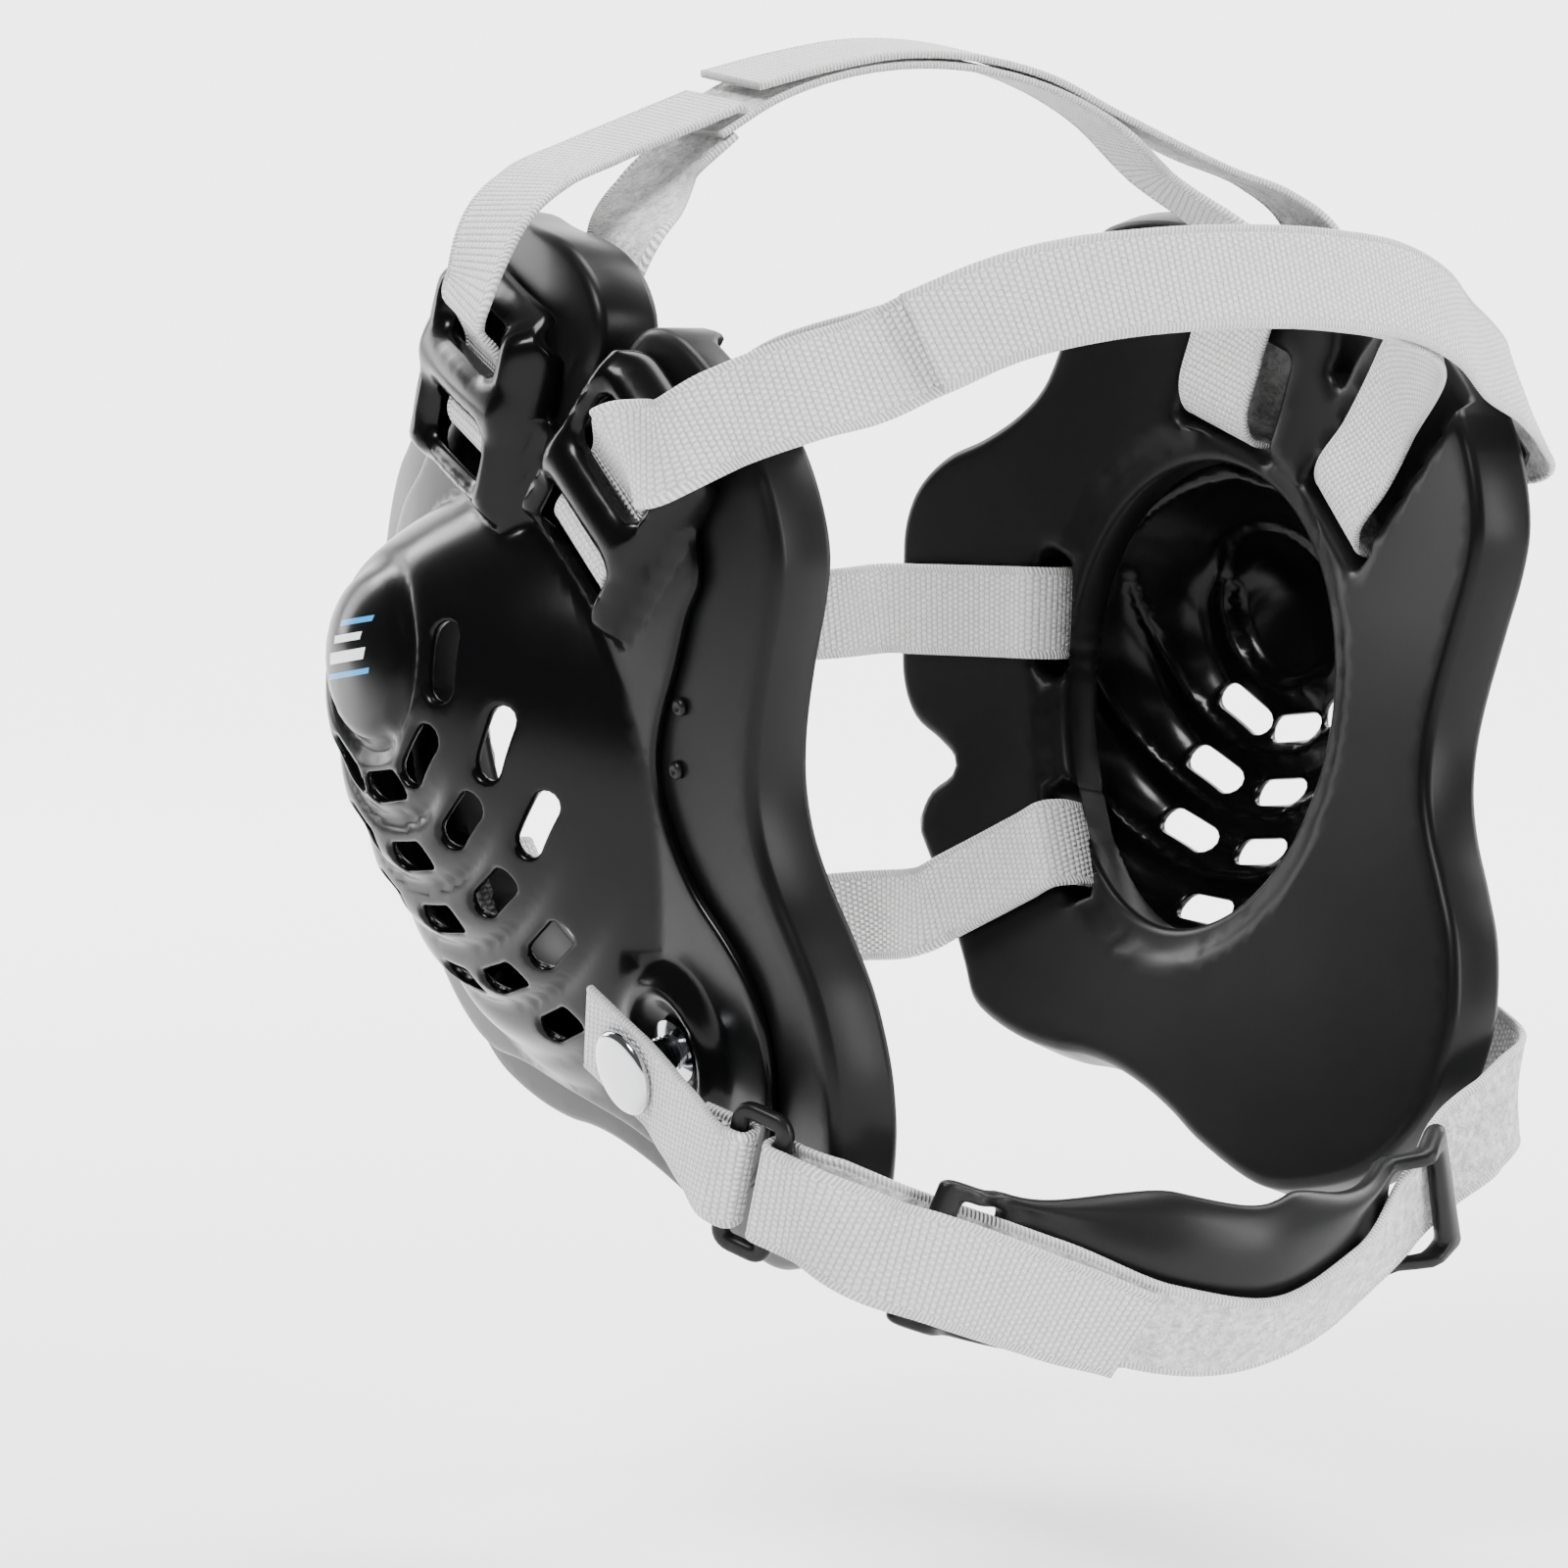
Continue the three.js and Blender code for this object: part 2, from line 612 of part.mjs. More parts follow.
const chinStations = [
  { unit: earGap / 2, x: -1.147, y: -71.5, z: -67, wide: [-0.3, 0.25, 0.92] },
  { unit: earGap / 2, x: -1.066, y: -83.5, z: -71.5, wide: [-0.2, 0.2, 0.95] },
  { unit: earGap / 2, x: -0.964, y: -91, z: -76, wide: [-0.1, 0.1, 0.96] },
  { unit: cupHalfWidth, x: -1, y: -95, z: -81.5, wide: [-0.05, 0, 0.98] },
  { unit: cupHalfWidth, x: -0.75, y: -100, z: -87, wide: [-0.05, -0.2, 0.95] },
  { unit: cupHalfWidth, x: -0.4, y: -106, z: -95, wide: [0, -0.5, 0.85] },
  { unit: cupHalfWidth, x: 0, y: -108, z: -98.5, wide: [0, -0.62, 0.79] },
  { unit: cupHalfWidth, x: 0.4, y: -106, z: -92.5, wide: [0, -0.5, 0.85] },
  { unit: cupHalfWidth, x: 0.75, y: -100, z: -82, wide: [0.05, -0.2, 0.95] },
  { unit: cupHalfWidth, x: 1, y: -95, z: -74.5, wide: [0.05, 0, 0.98] },
  { unit: earGap / 2, x: 0.964, y: -92.5, z: -69, wide: [0.15, 0.1, 0.95] },
  { unit: earGap / 2, x: 1.136, y: -86, z: -64, wide: [0.25, 0.2, 0.93] },
  { unit: earGap / 2, x: 1.213, y: -72, z: -60, wide: [0.28, 0.1, 0.92] },
];
const chinRoute = chinStations.map(({ unit, x, y, z, wide }) => {
  return { at: new THREE.Vector3(x * unit, y, z), across: new THREE.Vector3(...wide).normalize() };
});
const chinPath = webbingPath(chinRoute);
const chinFrame = (index) => chinPath(index / (chinRoute.length - 1));

// A station set off from a frame: along its run, out from its face and up its width
function offset({ at, run, across, face }, along, out, up = 0) {
  const place = at.clone().addScaledVector(run, along).addScaledVector(face, out).addScaledVector(across, up);
  return { at: place, across };
}

// The ring stands outside the chin strap's inner run, and the strap folds round its front bar
const foldHalf = ringWire * 0.4 + webThickness / 2 + seatGap;
const barSide = ringGap / 2 - webThickness / 2 - seatGap;
const ringFrame = { ...chinFrame(0) };
ringFrame.at = offset(ringFrame, 0, foldHalf).at;
const folded = (way) => [
  offset(ringFrame, way * 13, foldHalf), offset(ringFrame, way * 7, foldHalf),
  offset(ringFrame, way * (barSide + 0.8), foldHalf * 0.93), offset(ringFrame, way * barSide, 0),
  offset(ringFrame, way * (barSide + 0.8), -foldHalf * 0.93), offset(ringFrame, way * 7, -foldHalf),
];

// At a snap the webbing lies square to the snap's axis, running on towards a place
function snapFrame(side, towards) {
  const at = mirror(onSnap(snapOut), side);
  const face = mirror(snapAxis.way, side);
  const run = towards.clone().sub(at);
  run.addScaledVector(face, -run.dot(face)).normalize();
  return { at, run, face, across: new THREE.Vector3().crossVectors(face, run) };
}

function chinStrap() {
  const bar = webThickness + cupWall + 2 * runGap;
  const outer = [
    offset(chinFrame(4.85), 0, layerStep, -1.5), offset(chinFrame(4.1), 0, layerStep + 1, -2),
    offset(frameAtX(cupShift - cupHalfWidth), 0, bar, -2.5), offset(chinFrame(1.9), 0, layerStep + 2, -2.5),
  ];
  const end = snapFrame(1, chinRoute[chinRoute.length - 1].at);
  const snapEnd = [18, 9, 0, -9].map((along) => offset(end, along, 0));
  const wide = end.across.dot(chinRoute[0].across) < 0 ? -1 : 1;
  snapEnd.forEach((station) => station.across.copy(end.across).multiplyScalar(wide));
  return [...outer, ...folded(1), ...chinRoute.slice(1), ...snapEnd];
}

// The short tab of webbing under the right snap cap, folded round the ring's rear bar
function snapTab() {
  const start = snapFrame(-1, ringFrame.at);
  const wide = start.across.dot(ringFrame.across) < 0 ? -1 : 1;
  const head = [-14, 0, 9].map((along) => {
    return { at: offset(start, along, 0).at, across: start.across.clone().multiplyScalar(wide) };
  });
  return [...head, ...folded(-1), offset(ringFrame, -13, -foldHalf * 0.9)];
}

function lathe(profile, sides) {
  const points = profile.map(([radius, height]) => new THREE.Vector2(radius, height));
  return new THREE.LatheGeometry(points, sides).rotateX(Math.PI / 2);
}

// Turned pieces stand on the snap's axis
function onSnapAxis(geometry, out) {
  const turn = new THREE.Quaternion().setFromUnitVectors(new THREE.Vector3(0, 0, 1), snapAxis.way);
  const at = onSnap(out);
  return geometry.applyQuaternion(turn).translate(at.x, at.y, at.z);
}

function snapCapGeometry() {
  const { radius, rise, postRadius, socketRadius, socketHeight } = snapCap;
  const profile = [
    [0, -under - socketHeight], [socketRadius, -under - socketHeight], [socketRadius, -under],
    [postRadius, -under], [postRadius, under], [radius, under], [radius, under + rise * 0.35],
    [radius * 0.8, under + rise * 0.78], [0, under + rise],
  ];
  return onSnapAxis(lathe(profile, 16), snapOut);
}

function studGeometry() {
  const { footRadius, neckRadius, height } = stud;
  const profile = [
    [0, 0], [footRadius, 0], [footRadius, 1], [neckRadius, 1.4], [neckRadius, height - 0.8],
    [neckRadius - 0.8, height], [0, height],
  ];
  return onSnapAxis(lathe(profile, 10), studFoot);
}

// A hole for the snap cap's post through the webbing at a side's snap
function punched(geometry, side) {
  const reach = snapCap.postRadius + seatGap;
  const drill = onSnapAxis(new THREE.CylinderGeometry(reach, reach, 5, 10).rotateX(Math.PI / 2), snapOut);
  const hole = toSolid(drill);
  const whole = toSolid(geometry);
  return toGeometry(toPolygons(whole.subtract(side > 0 ? hole : hole.mirror([1, 0, 0]))));
}

function rivetGeometry(share) {
  const foot = onGuard(...shared(share), foamThickness + seatGap * 0.75);
  const way = faceNormal(...shared(share));
  const turn = new THREE.Quaternion().setFromUnitVectors(new THREE.Vector3(0, 0, 1), way);
  const head = lathe([[0, 0], [1.7, 0], [1.5, 0.8], [0, 1.2]], 8);
  return head.applyQuaternion(turn).translate(foot.x, foot.y, foot.z);
}

// The rectangular ring: a wire loop with a middle opening for the webbing
function ringGeometry() {
  const halfAcross = webbing / 2 + 2;
  const corners = (grow) => [[-1, -1], [1, -1], [1, 1], [-1, 1]].map(([along, across]) => {
    return new THREE.Vector2(along * (ringGap / 2 + grow), across * (halfAcross + grow));
  });
  const shape = new THREE.Shape(corners(ringWire));
  shape.holes.push(new THREE.Path(corners(0)));
  const depth = ringWire * 0.8;
  const frame = new THREE.ExtrudeGeometry(shape, { depth, bevelEnabled: false }).translate(0, 0, -depth / 2);
  const { run, across, face, at } = ringFrame;
  return frame.applyMatrix4(new THREE.Matrix4().makeBasis(run, across, face).setPosition(at));
}

// Chin cup: a trough behind the chin strap. It lies flat behind the webbing, and its upper and lower wings bend
// back round the chin. At each end the webbing passes through a slot, behind a bar. Its middle is a little to the
// right of the chin's
const cupBar = { width: 4, slot: 10 };
const cupFlat = webbing / 2 + 1;

function frameAtX(x) {
  let [low, high] = [0, 1];
  for (let i = 0; i < 30; i += 1) {
    const middle = (low + high) / 2;
    [low, high] = chinPath(middle).at.x < x ? [middle, high] : [low, middle];
  }
  return chinPath(low);
}

// Place on the cup: x across the chin, h from 1 at its rim to -1 at its lower edge, depth through its wall
function onCup(x, h, depth) {
  const frame = frameAtX(x + cupShift);
  const end = smoothStep(0.3, 0.8, Math.abs(x) / cupHalfWidth);
  const step = smoothStep(cupHalfWidth - cupBar.slot, cupHalfWidth - cupBar.width, Math.abs(x));
  const wing = Math.max(0, 2 * Math.abs(h) - 1);
  const reach = THREE.MathUtils.lerp(h > 0 ? cupWing.upReach : cupWing.lowReach, cupWing.endReach, end);
  const up = Math.sign(h) * (Math.min(1, 2 * Math.abs(h)) * cupFlat + wing * reach);
  const clear = webThickness / 2 + runGap;
  const behind = -clear - cupWall - cupWing.bend * (1 - end) * wing ** 1.4;
  return offset(frame, 0, THREE.MathUtils.lerp(behind, clear, step) + depth, up).at;
}

function cupGeometry() {
  const end = cupHalfWidth + cupBar.width / 2;
  const tall = 2 * (cupFlat + cupWing.endReach);
  const block = (from, to, low, high) => [[from, low], [to, low], [to, high], [from, high]].map(([x, h]) => {
    return [x, (h * tall) / 2];
  });
  const slots = [-1, 1].map((side) => {
    const edges = [cupHalfWidth - cupBar.slot, cupHalfWidth - cupBar.width / 2].map((x) => side * x);
    return plate(block(Math.min(...edges), Math.max(...edges), -0.52, 0.52), -1, cupWall + 1);
  });
  const solid = without(plate(block(-end, end, -1, 1), 0, cupWall), slots);
  return bent(solid, () => fineEdge, (x, h, depth) => onCup(x, (2 * h) / tall, depth));
}

function piece(name, geometry, material) {
  const mesh = new THREE.Mesh(geometry, material);
  mesh.name = name;
  return mesh;
}

function guard(side) {
  const group = new THREE.Group();
  group.add(
    piece(`pad_${side}`, padGeometry(), foamBlack),
    piece(`shell_${side}`, shellGeometry(), black),
    piece(`rivet_upper_${side}`, rivetGeometry([-0.336, 0.088]), black),
    piece(`rivet_lower_${side}`, rivetGeometry([-0.318, 0.028]), black),
    piece(`snap_stud_${side}`, studGeometry(), chrome),
    piece(`snap_cap_${side}`, snapCapGeometry(), chrome),
  );
  group.scale.x = side === "left" ? 1 : -1;
  return group;
}

const web = (name, stations, steps = 2) => piece(name, ribbon(stations, webbing, webThickness, steps), white);

const earGuard = new THREE.Group();
earGuard.add(
  guard("left"),
  guard("right"),
  web("top_strap_left", topStrap(1, -44, 0, -34, 2)),
  web("top_strap_right", topStrap(-1, 42, -1, 37, 0)),
  web("front_strap_left", frontStrap(1, -10, -46, 2)),
  web("front_strap_right", frontStrap(-1, 12, -6, 1)),
  web("back_strap_upper", backStrap(backAnchors.upper, 17)),
  web("back_strap_lower", backStrap(backAnchors.lower, -48)),
  piece("chin_strap", punched(ribbon(chinStrap(), webbing, webThickness, 2), 1), white),
  piece("snap_tab", punched(ribbon(snapTab(), webbing, webThickness, 2), -1), white),
  piece("strap_ring", ringGeometry(), black),
  piece("chin_cup", cupGeometry(), black),
);
earGuard.position.z = webThickness / 2 - crownHeight;

export default earGuard;
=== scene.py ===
import math

import bmesh
import bpy
import numpy as np
from mathutils import Matrix, Vector
from mathutils.geometry import delaunay_2d_cdt


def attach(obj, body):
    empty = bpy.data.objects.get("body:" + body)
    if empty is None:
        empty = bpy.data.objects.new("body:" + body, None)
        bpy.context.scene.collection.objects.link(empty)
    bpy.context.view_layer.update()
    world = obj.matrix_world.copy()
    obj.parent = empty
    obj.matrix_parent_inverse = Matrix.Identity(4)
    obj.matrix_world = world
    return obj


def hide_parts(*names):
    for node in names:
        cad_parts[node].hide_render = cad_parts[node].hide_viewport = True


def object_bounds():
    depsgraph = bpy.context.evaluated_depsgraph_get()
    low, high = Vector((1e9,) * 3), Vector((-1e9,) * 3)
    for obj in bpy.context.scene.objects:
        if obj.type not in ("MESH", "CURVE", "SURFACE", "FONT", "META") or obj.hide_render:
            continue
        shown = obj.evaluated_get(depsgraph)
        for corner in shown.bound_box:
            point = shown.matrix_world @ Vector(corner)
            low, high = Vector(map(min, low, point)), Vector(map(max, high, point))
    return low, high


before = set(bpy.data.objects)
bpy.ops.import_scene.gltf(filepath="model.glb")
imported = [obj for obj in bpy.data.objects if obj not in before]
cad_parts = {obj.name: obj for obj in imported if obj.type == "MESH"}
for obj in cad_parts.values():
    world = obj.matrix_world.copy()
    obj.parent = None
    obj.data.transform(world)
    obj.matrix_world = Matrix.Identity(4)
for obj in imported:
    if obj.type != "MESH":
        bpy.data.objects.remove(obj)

CAD_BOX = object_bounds()

bl_info = {
    "name": "Wrestling ear guard",
    "version": (1, 0, 0),
    "blender": (4, 5, 0),
    "location": "3D View > Sidebar > Ear guard",
    "description": "Builds a wrestling ear guard with foam pads, moulded shells, webbing and a chin cup",
    "category": "Mesh",
}

# The guard is measured in millimetres from the middle between the ears. The frame starts at the crown.
MM = 0.001
CROWN_UP = 130.25

EAR_GAP = 144.0
PAD_LENGTH = 163.0
PAD_HEIGHT = 184.0
FOAM = 13.6
SEAT_GAP = 0.4
RUN_GAP = 1.3
SLIDE_GAP = 1.5
SHELL_WALL = 2.2
TAB_RISE = 6.0
TAB_SLOPE = 5.5
LOOP_SWELL = 2.6
LOOP_EDGE = 3.2
BOWL_RADIUS = 11.5
BOWL_LIP = 5.0
BOWL_RISE = 3.5
WEBBING = 19.0
WEB_THICKNESS = 1.5
LAYER_STEP = 2.0
CROWN_HEIGHT = 131.0
ARCH_HALF_WIDTH = 72.0
BROW_HALF_WIDTH = 84.0
BROW_REACH = 103.0
BROW_RISE = 27.5
NAPE_REACH = 104.0
RING_WIRE = 3.2
RING_GAP = 6.0
CUP_HALF_WIDTH = 56.0
CUP_WALL = 2.4
CUP_SHIFT = -7.0
FOAM_EDGE = 2.2
SHELL_EDGE = 1.0
FOAM_SPACING = 2.4
SHELL_SPACING = 1.35
STRAP_STEPS = 18
LINE_STEP = 1.2
PAD_LINE_STEP = 1.8
CAP_RADIUS = 8.0
TERRACE_DEPTH = 2.8
SELVEDGE = 0.86


def linear(code):
    """An sRGB hex colour as linear red, green, blue and alpha."""
    parts = [int(code[i:i + 2], 16) / 255 for i in (1, 3, 5)]
    return tuple(v / 12.92 if v <= 0.04045 else ((v + 0.055) / 1.055) ** 2.4 for v in parts) + (1.0,)


def size_input(name, description, default, low, high):
    return bpy.props.FloatProperty(name=name, description=description, default=default, min=low, max=high)


def colour_input(name, description, code):
    return bpy.props.FloatVectorProperty(
        name=name, description=description, size=4, subtype="COLOR", default=linear(code))


class GuardSizes(bpy.types.PropertyGroup):
    foam_edge: size_input("Foam edge", "Radius of the pads' edges in mm", FOAM_EDGE, 0.5, 4)
    shell_edge: size_input("Shell edge", "Radius of the shells' edges in mm", SHELL_EDGE, 0.2, 1)
    terrace_depth: size_input("Terrace depth", "Depth of the dome's creases in mm", TERRACE_DEPTH, 0, 4)
    cap_radius: size_input("Snap cap", "Radius of the snap caps in mm", CAP_RADIUS, 6, 10)
    selvedge: size_input("Selvedge", "Share of the half width where the edge rib starts", SELVEDGE, 0.7, 0.95)


class GuardColours(bpy.types.PropertyGroup):
    foam: colour_input("Foam", "Colour of the foam skin", "#0A0A0B")
    shell: colour_input("Shell", "Colour of the moulded shells", "#070708")
    cup: colour_input("Cup", "Colour of the chin cup and ring", "#0D0D0E")
    webbing: colour_input("Webbing", "Colour of the yarn", "#FDFDFC")
    # Painted shade: the colour of the webbing's low places between yarns, cords and tufts of pile, standing
    # in for their shade
    painted_yarn_shade: colour_input("Webbing shade", "Colour between the yarns", "#9C9C9B")
    print_white: colour_input("Print white", "White ink of the bars on the dome", "#F4F6F8")
    print_blue: colour_input("Print blue", "Blue ink of the bars on the dome", "#2F93D6")


class StageSizes(bpy.types.PropertyGroup):
    floor_drop: size_input("Floor drop", "How far the floor lies under the guard in metres", 0.06, 0, 1)
    light: size_input("Light", "Strength of all the lamps together", 1.0, 0, 5)


def smooth_step(low, high, value):
    share = min(1.0, max(0.0, (value - low) / (high - low)))
    return share * share * (3 - 2 * share)


def blend_values(first, second, share):
    return first + (second - first) * share


# Inner face of the left pad: how far it stands from the middle plane. It leans, bows and curls.
def face_out(y, z):
    back = y / (PAD_LENGTH / 2)
    up = z / (PAD_HEIGHT / 2)
    lean = -0.08 * back + 0.235 * up
    bow = -0.14 * back ** 2 - 0.2 * up ** 2 - 0.042 * back * up
    curl = -0.044 * back ** 3 - 0.141 * back ** 2 * up - 0.119 * back * up ** 2
    return EAR_GAP / 2 * (1 + lean + bow + curl)


def face_normal(y, z):
    slope_back = (face_out(y + 1, z) - face_out(y - 1, z)) / 2
    slope_up = (face_out(y, z + 1) - face_out(y, z - 1)) / 2
    return Vector((1, -slope_back, -slope_up)).normalized()


def on_guard(y, z, out):
    return Vector((face_out(y, z), y, z)) + face_normal(y, z) * out


def shared(share):
    return (share[0] * PAD_LENGTH, share[1] * PAD_HEIGHT)


def turned_point(middle, along, aside, turn):
    """The place at a distance along a direction and aside of it."""
    return (middle[0] + along * math.cos(turn) - aside * math.sin(turn),
            middle[1] + along * math.sin(turn) + aside * math.cos(turn))


def along_across(y, z, middle, turn):
    """How far a place lies along a direction and across it."""
    dy, dz = y - middle[0], z - middle[1]
    return dy * math.cos(turn) + dz * math.sin(turn), dy * math.sin(turn) - dz * math.cos(turn)


# How far the swelling of a tab's bar reaches, where its sides start to swell, and how it fades to the front
BAR_REACH = 6.5
SIDE_SWELL = (9, 13)
SIDE_SHARE = 0.6
FRONT_FADE = 8


class Tab:
    """A raised loop of the shell that holds a strap. along runs with the strap, across at right angles."""

    def __init__(self, middle, run_degrees, half_across, spans):
        self.middle = shared(middle)
        self.turn = math.radians(run_degrees)
        self.half_across = half_across
        self.rear, self.front = spans["tab"]
        self.rear_window = spans["rear_window"]
        self.front_window = spans["front_window"]
        self.foam_slot = spans["foam_slot"]
        self.foam_shift = spans["foam_shift"]

    def place(self, along, across):
        return turned_point(self.middle, along, -across, self.turn)

    def within(self, y, z):
        return along_across(y, z, self.middle, self.turn)

    def box(self, span, half_across, shift=0.0):
        low, high = span
        corners = [(low, shift - half_across), (low, shift + half_across),
                   (high, shift + half_across), (high, shift - half_across)]
        return [self.place(along, across) for along, across in corners]

    def outline(self):
        cut = self.half_across * 0.3
        corners = [(self.rear, -self.half_across), (self.rear, self.half_across),
                   (self.front - cut, self.half_across), (self.front, self.half_across - cut),
                   (self.front, cut - self.half_across), (self.front - cut, -self.half_across)]
        return [self.place(along, across) for along, across in corners]

    def height(self, y, z):
        """The loop stands up round from its edge. Its bar and its sides are fatter than its front end."""
        along, across = self.within(y, z)
        inset = min(along - self.rear, self.front - along, self.half_across - abs(across))
        share = min(1.0, max(0.0, inset / TAB_SLOPE))
        bar = LOOP_SWELL * math.exp(-(along / BAR_REACH) ** 2)
        side = SIDE_SHARE * LOOP_SWELL * smooth_step(*SIDE_SWELL, abs(across))
        side *= smooth_step(0, FRONT_FADE, self.front - along)
        return (TAB_RISE + max(bar, side)) * math.sin(share * math.pi / 2)


BAR_HALF = 4.5
TOWER = Tab((-0.028, 0.38), 111, WEBBING / 2 + SLIDE_GAP + 9, {
    "tab": (-22, 18), "rear_window": (-15, -BAR_HALF), "front_window": (BAR_HALF, 13.5),
    "foam_slot": (-13, 10), "foam_shift": -2.5,
})
BROW = Tab((-0.274, 0.279), 134.5, WEBBING / 2 + SLIDE_GAP + 6, {
    "tab": (-19, 24), "rear_window": (-17, -BAR_HALF), "front_window": (BAR_HALF, 16),
    "foam_slot": (-14.5, -7), "foam_shift": 0,
})

# Pad outline as shares of the pad's length (back) and height (up), and the shell's flange the same way
PAD_OUTLINE = [
    (-0.02, 0.535), (-0.13, 0.517), (-0.19, 0.49), (-0.222, 0.45), (-0.22, 0.41), (-0.205, 0.385),
    (-0.226, 0.372), (-0.258, 0.408), (-0.3, 0.436), (-0.35, 0.43), (-0.4, 0.4), (-0.445, 0.36),
    (-0.478, 0.315), (-0.498, 0.268), (-0.505, 0.225), (-0.495, 0.18), (-0.473, 0.125), (-0.45, 0.06),
    (-0.44, 0.008), (-0.444, -0.04), (-0.462, -0.085), (-0.493, -0.135), (-0.52, -0.185), (-0.534, -0.24),
    (-0.535, -0.285), (-0.523, -0.335), (-0.49, -0.39), (-0.435, -0.435), (-0.355, -0.457), (-0.282, -0.459),
    (-0.18, -0.428), (-0.114, -0.4), (-0.054, -0.379), (0.005, -0.364), (0.06, -0.357), (0.113, -0.356),
    (0.177, -0.348), (0.237, -0.332), (0.274, -0.314), (0.301, -0.283), (0.341, -0.236), (0.42, -0.142),
    (0.423, -0.12), (0.412, -0.094), (0.385, -0.074), (0.385, -0.055), (0.41, -0.036), (0.447, -0.012),
    (0.466, 0.03), (0.467, 0.09), (0.462, 0.16), (0.453, 0.208), (0.43, 0.25), (0.39, 0.283),
    (0.34, 0.304), (0.29, 0.332), (0.25, 0.366), (0.215, 0.42), (0.178, 0.482), (0.148, 0.53),
    (0.11, 0.545), (0.05, 0.547),
]
FLANGE_OUTLINE = [
    (0.19, 0.285), (0.08, 0.35), (-0.2, 0.34), (-0.36, 0.3), (-0.395, 0.215), (-0.37, 0.178), (-0.342, 0.125),
    (-0.304, 0.066), (-0.291, 0.02), (-0.304, -0.035), (-0.335, -0.086), (-0.376, -0.124), (-0.412, -0.164),
    (-0.43, -0.21), (-0.428, -0.265), (-0.4, -0.32), (-0.345, -0.365), (-0.27, -0.38), (-0.19, -0.362),
    (-0.12, -0.345), (-0.066, -0.33), (0.06, -0.308), (0.146, -0.292), (0.234, -0.285), (0.29, -0.25),
    (0.33, -0.18), (0.355, -0.09), (0.36, 0), (0.35, 0.1), (0.31, 0.19), (0.255, 0.25),
]
EAR_HOLE = {
    "middle": shared((-0.004, 0.036)), "half_length": 37.5, "half_height": 46, "lean": -9, "rim": 6.0,
    "rim_depth": 1.8,
}
BACK_ANCHORS = {"upper": (shared((0.252, 0.112)), 0), "lower": (shared((0.18, -0.136)), -28)}
SNAP_MIDDLE = shared((-0.252, -0.239))
SLOT_ROWS = [
    (1.75, (179, -135, -98, -62)), (2.75, (-157, -129, -96, -66)), (3.7, (-143, -120, -95, -71)),
    (4.7, (-121, -103, -87)), (5.6, (-107,)),
]


# Outlines and flat plates
def closed_curve(corners, spacing):
    """A smooth closed line through the corners, with a point at each spacing."""
    count = len(corners)
    points = []
    for i in range(count):
        p0, p1, p2, p3 = (np.array(corners[(i + k) % count], float) for k in (-1, 0, 1, 2))
        steps = max(1, round(float(np.linalg.norm(p2 - p1)) / spacing))
        for step in range(steps):
            t = step / steps
            bend = 2 * p0 - 5 * p1 + 4 * p2 - p3
            rest = 3 * p1 - p0 - 3 * p2 + p3
            points.append(0.5 * (2 * p1 + (p2 - p0) * t + bend * t * t + rest * t ** 3))
    return np.array(points)


def rounded(corners, radius, spacing):
    """A closed line of straight sides with its corners rounded."""
    count = len(corners)
    points = []
    for i in range(count):
        before, here, after = (np.array(corners[(i + k) % count], float) for k in (-1, 0, 1))
        start, end = before - here, after - here
        start, end = start / np.linalg.norm(start), end / np.linalg.norm(end)
        half = math.acos(float(np.clip(start @ end, -1, 1))) / 2
        reach = radius / math.tan(half)
        for step in range(7):
            t = step / 6
            one = here + start * reach * (1 - t)
            two = here + end * reach * t
            points.append(one * (1 - t) + two * t)
    return spaced(np.array(points), spacing)


def spaced(points, spacing):
    """The same closed line with its long sides divided."""
    result = []
    for i, point in enumerate(points):
        after = points[(i + 1) % len(points)]
        length = float(np.linalg.norm(after - point))
        if length < 1e-6:
            continue
        steps = max(1, round(length / spacing))
        result += [point + (after - point) * step / steps for step in range(steps)]
    return np.array(result)


def ellipse(middle, half_length, half_height, lean, sides):
    points = []
    for i in range(sides):
        angle = 2 * math.pi * i / sides
        points.append(turned_point(
            middle, half_length * math.cos(angle), half_height * math.sin(angle), math.radians(lean)))
    return np.array(points)


def slot_line(middle, length, width, turn, sides=8):
    """A straight slot with round ends."""
    half = (length - width) / 2
    points = []
    for end, shift in ((0, half), (math.pi, -half)):
        for i in range(sides):
            angle = end - math.pi / 2 + math.pi * i / (sides - 1)
            points.append(turned_point(
                middle, shift + width / 2 * math.cos(angle), width / 2 * math.sin(angle), turn))
    return spaced(np.array(points), LINE_STEP)


def measure(points, loops):
    """Each point's distance to the nearest line, and whether it lies on the plate."""
    starts = np.concatenate(loops)
    ends = np.concatenate([np.roll(loop, -1, axis=0) for loop in loops])
    run = ends - starts
    span = (run ** 2).sum(1)
    rise = np.where(run[:, 1] == 0, 1e-12, run[:, 1])
    reach = np.empty(len(points))
    inside = np.empty(len(points), bool)
    block = 1500
    for first in range(0, len(points), block):
        here = points[first:first + block, None, :]
        share = np.clip(((here - starts) * run).sum(2) / span, 0, 1)
        gap = here - starts - share[..., None] * run
        reach[first:first + block] = np.sqrt((gap ** 2).sum(2).min(1))
        crosses = (starts[:, 1] > here[..., 1]) != (ends[:, 1] > here[..., 1])
        cut = starts[:, 0] + (here[..., 1] - starts[:, 1]) * run[:, 0] / rise
        inside[first:first + block] = (crosses & (here[..., 0] < cut)).sum(1) % 2 == 1
    return reach, inside


EDGE_TURNS = (24, 45, 66, 90)


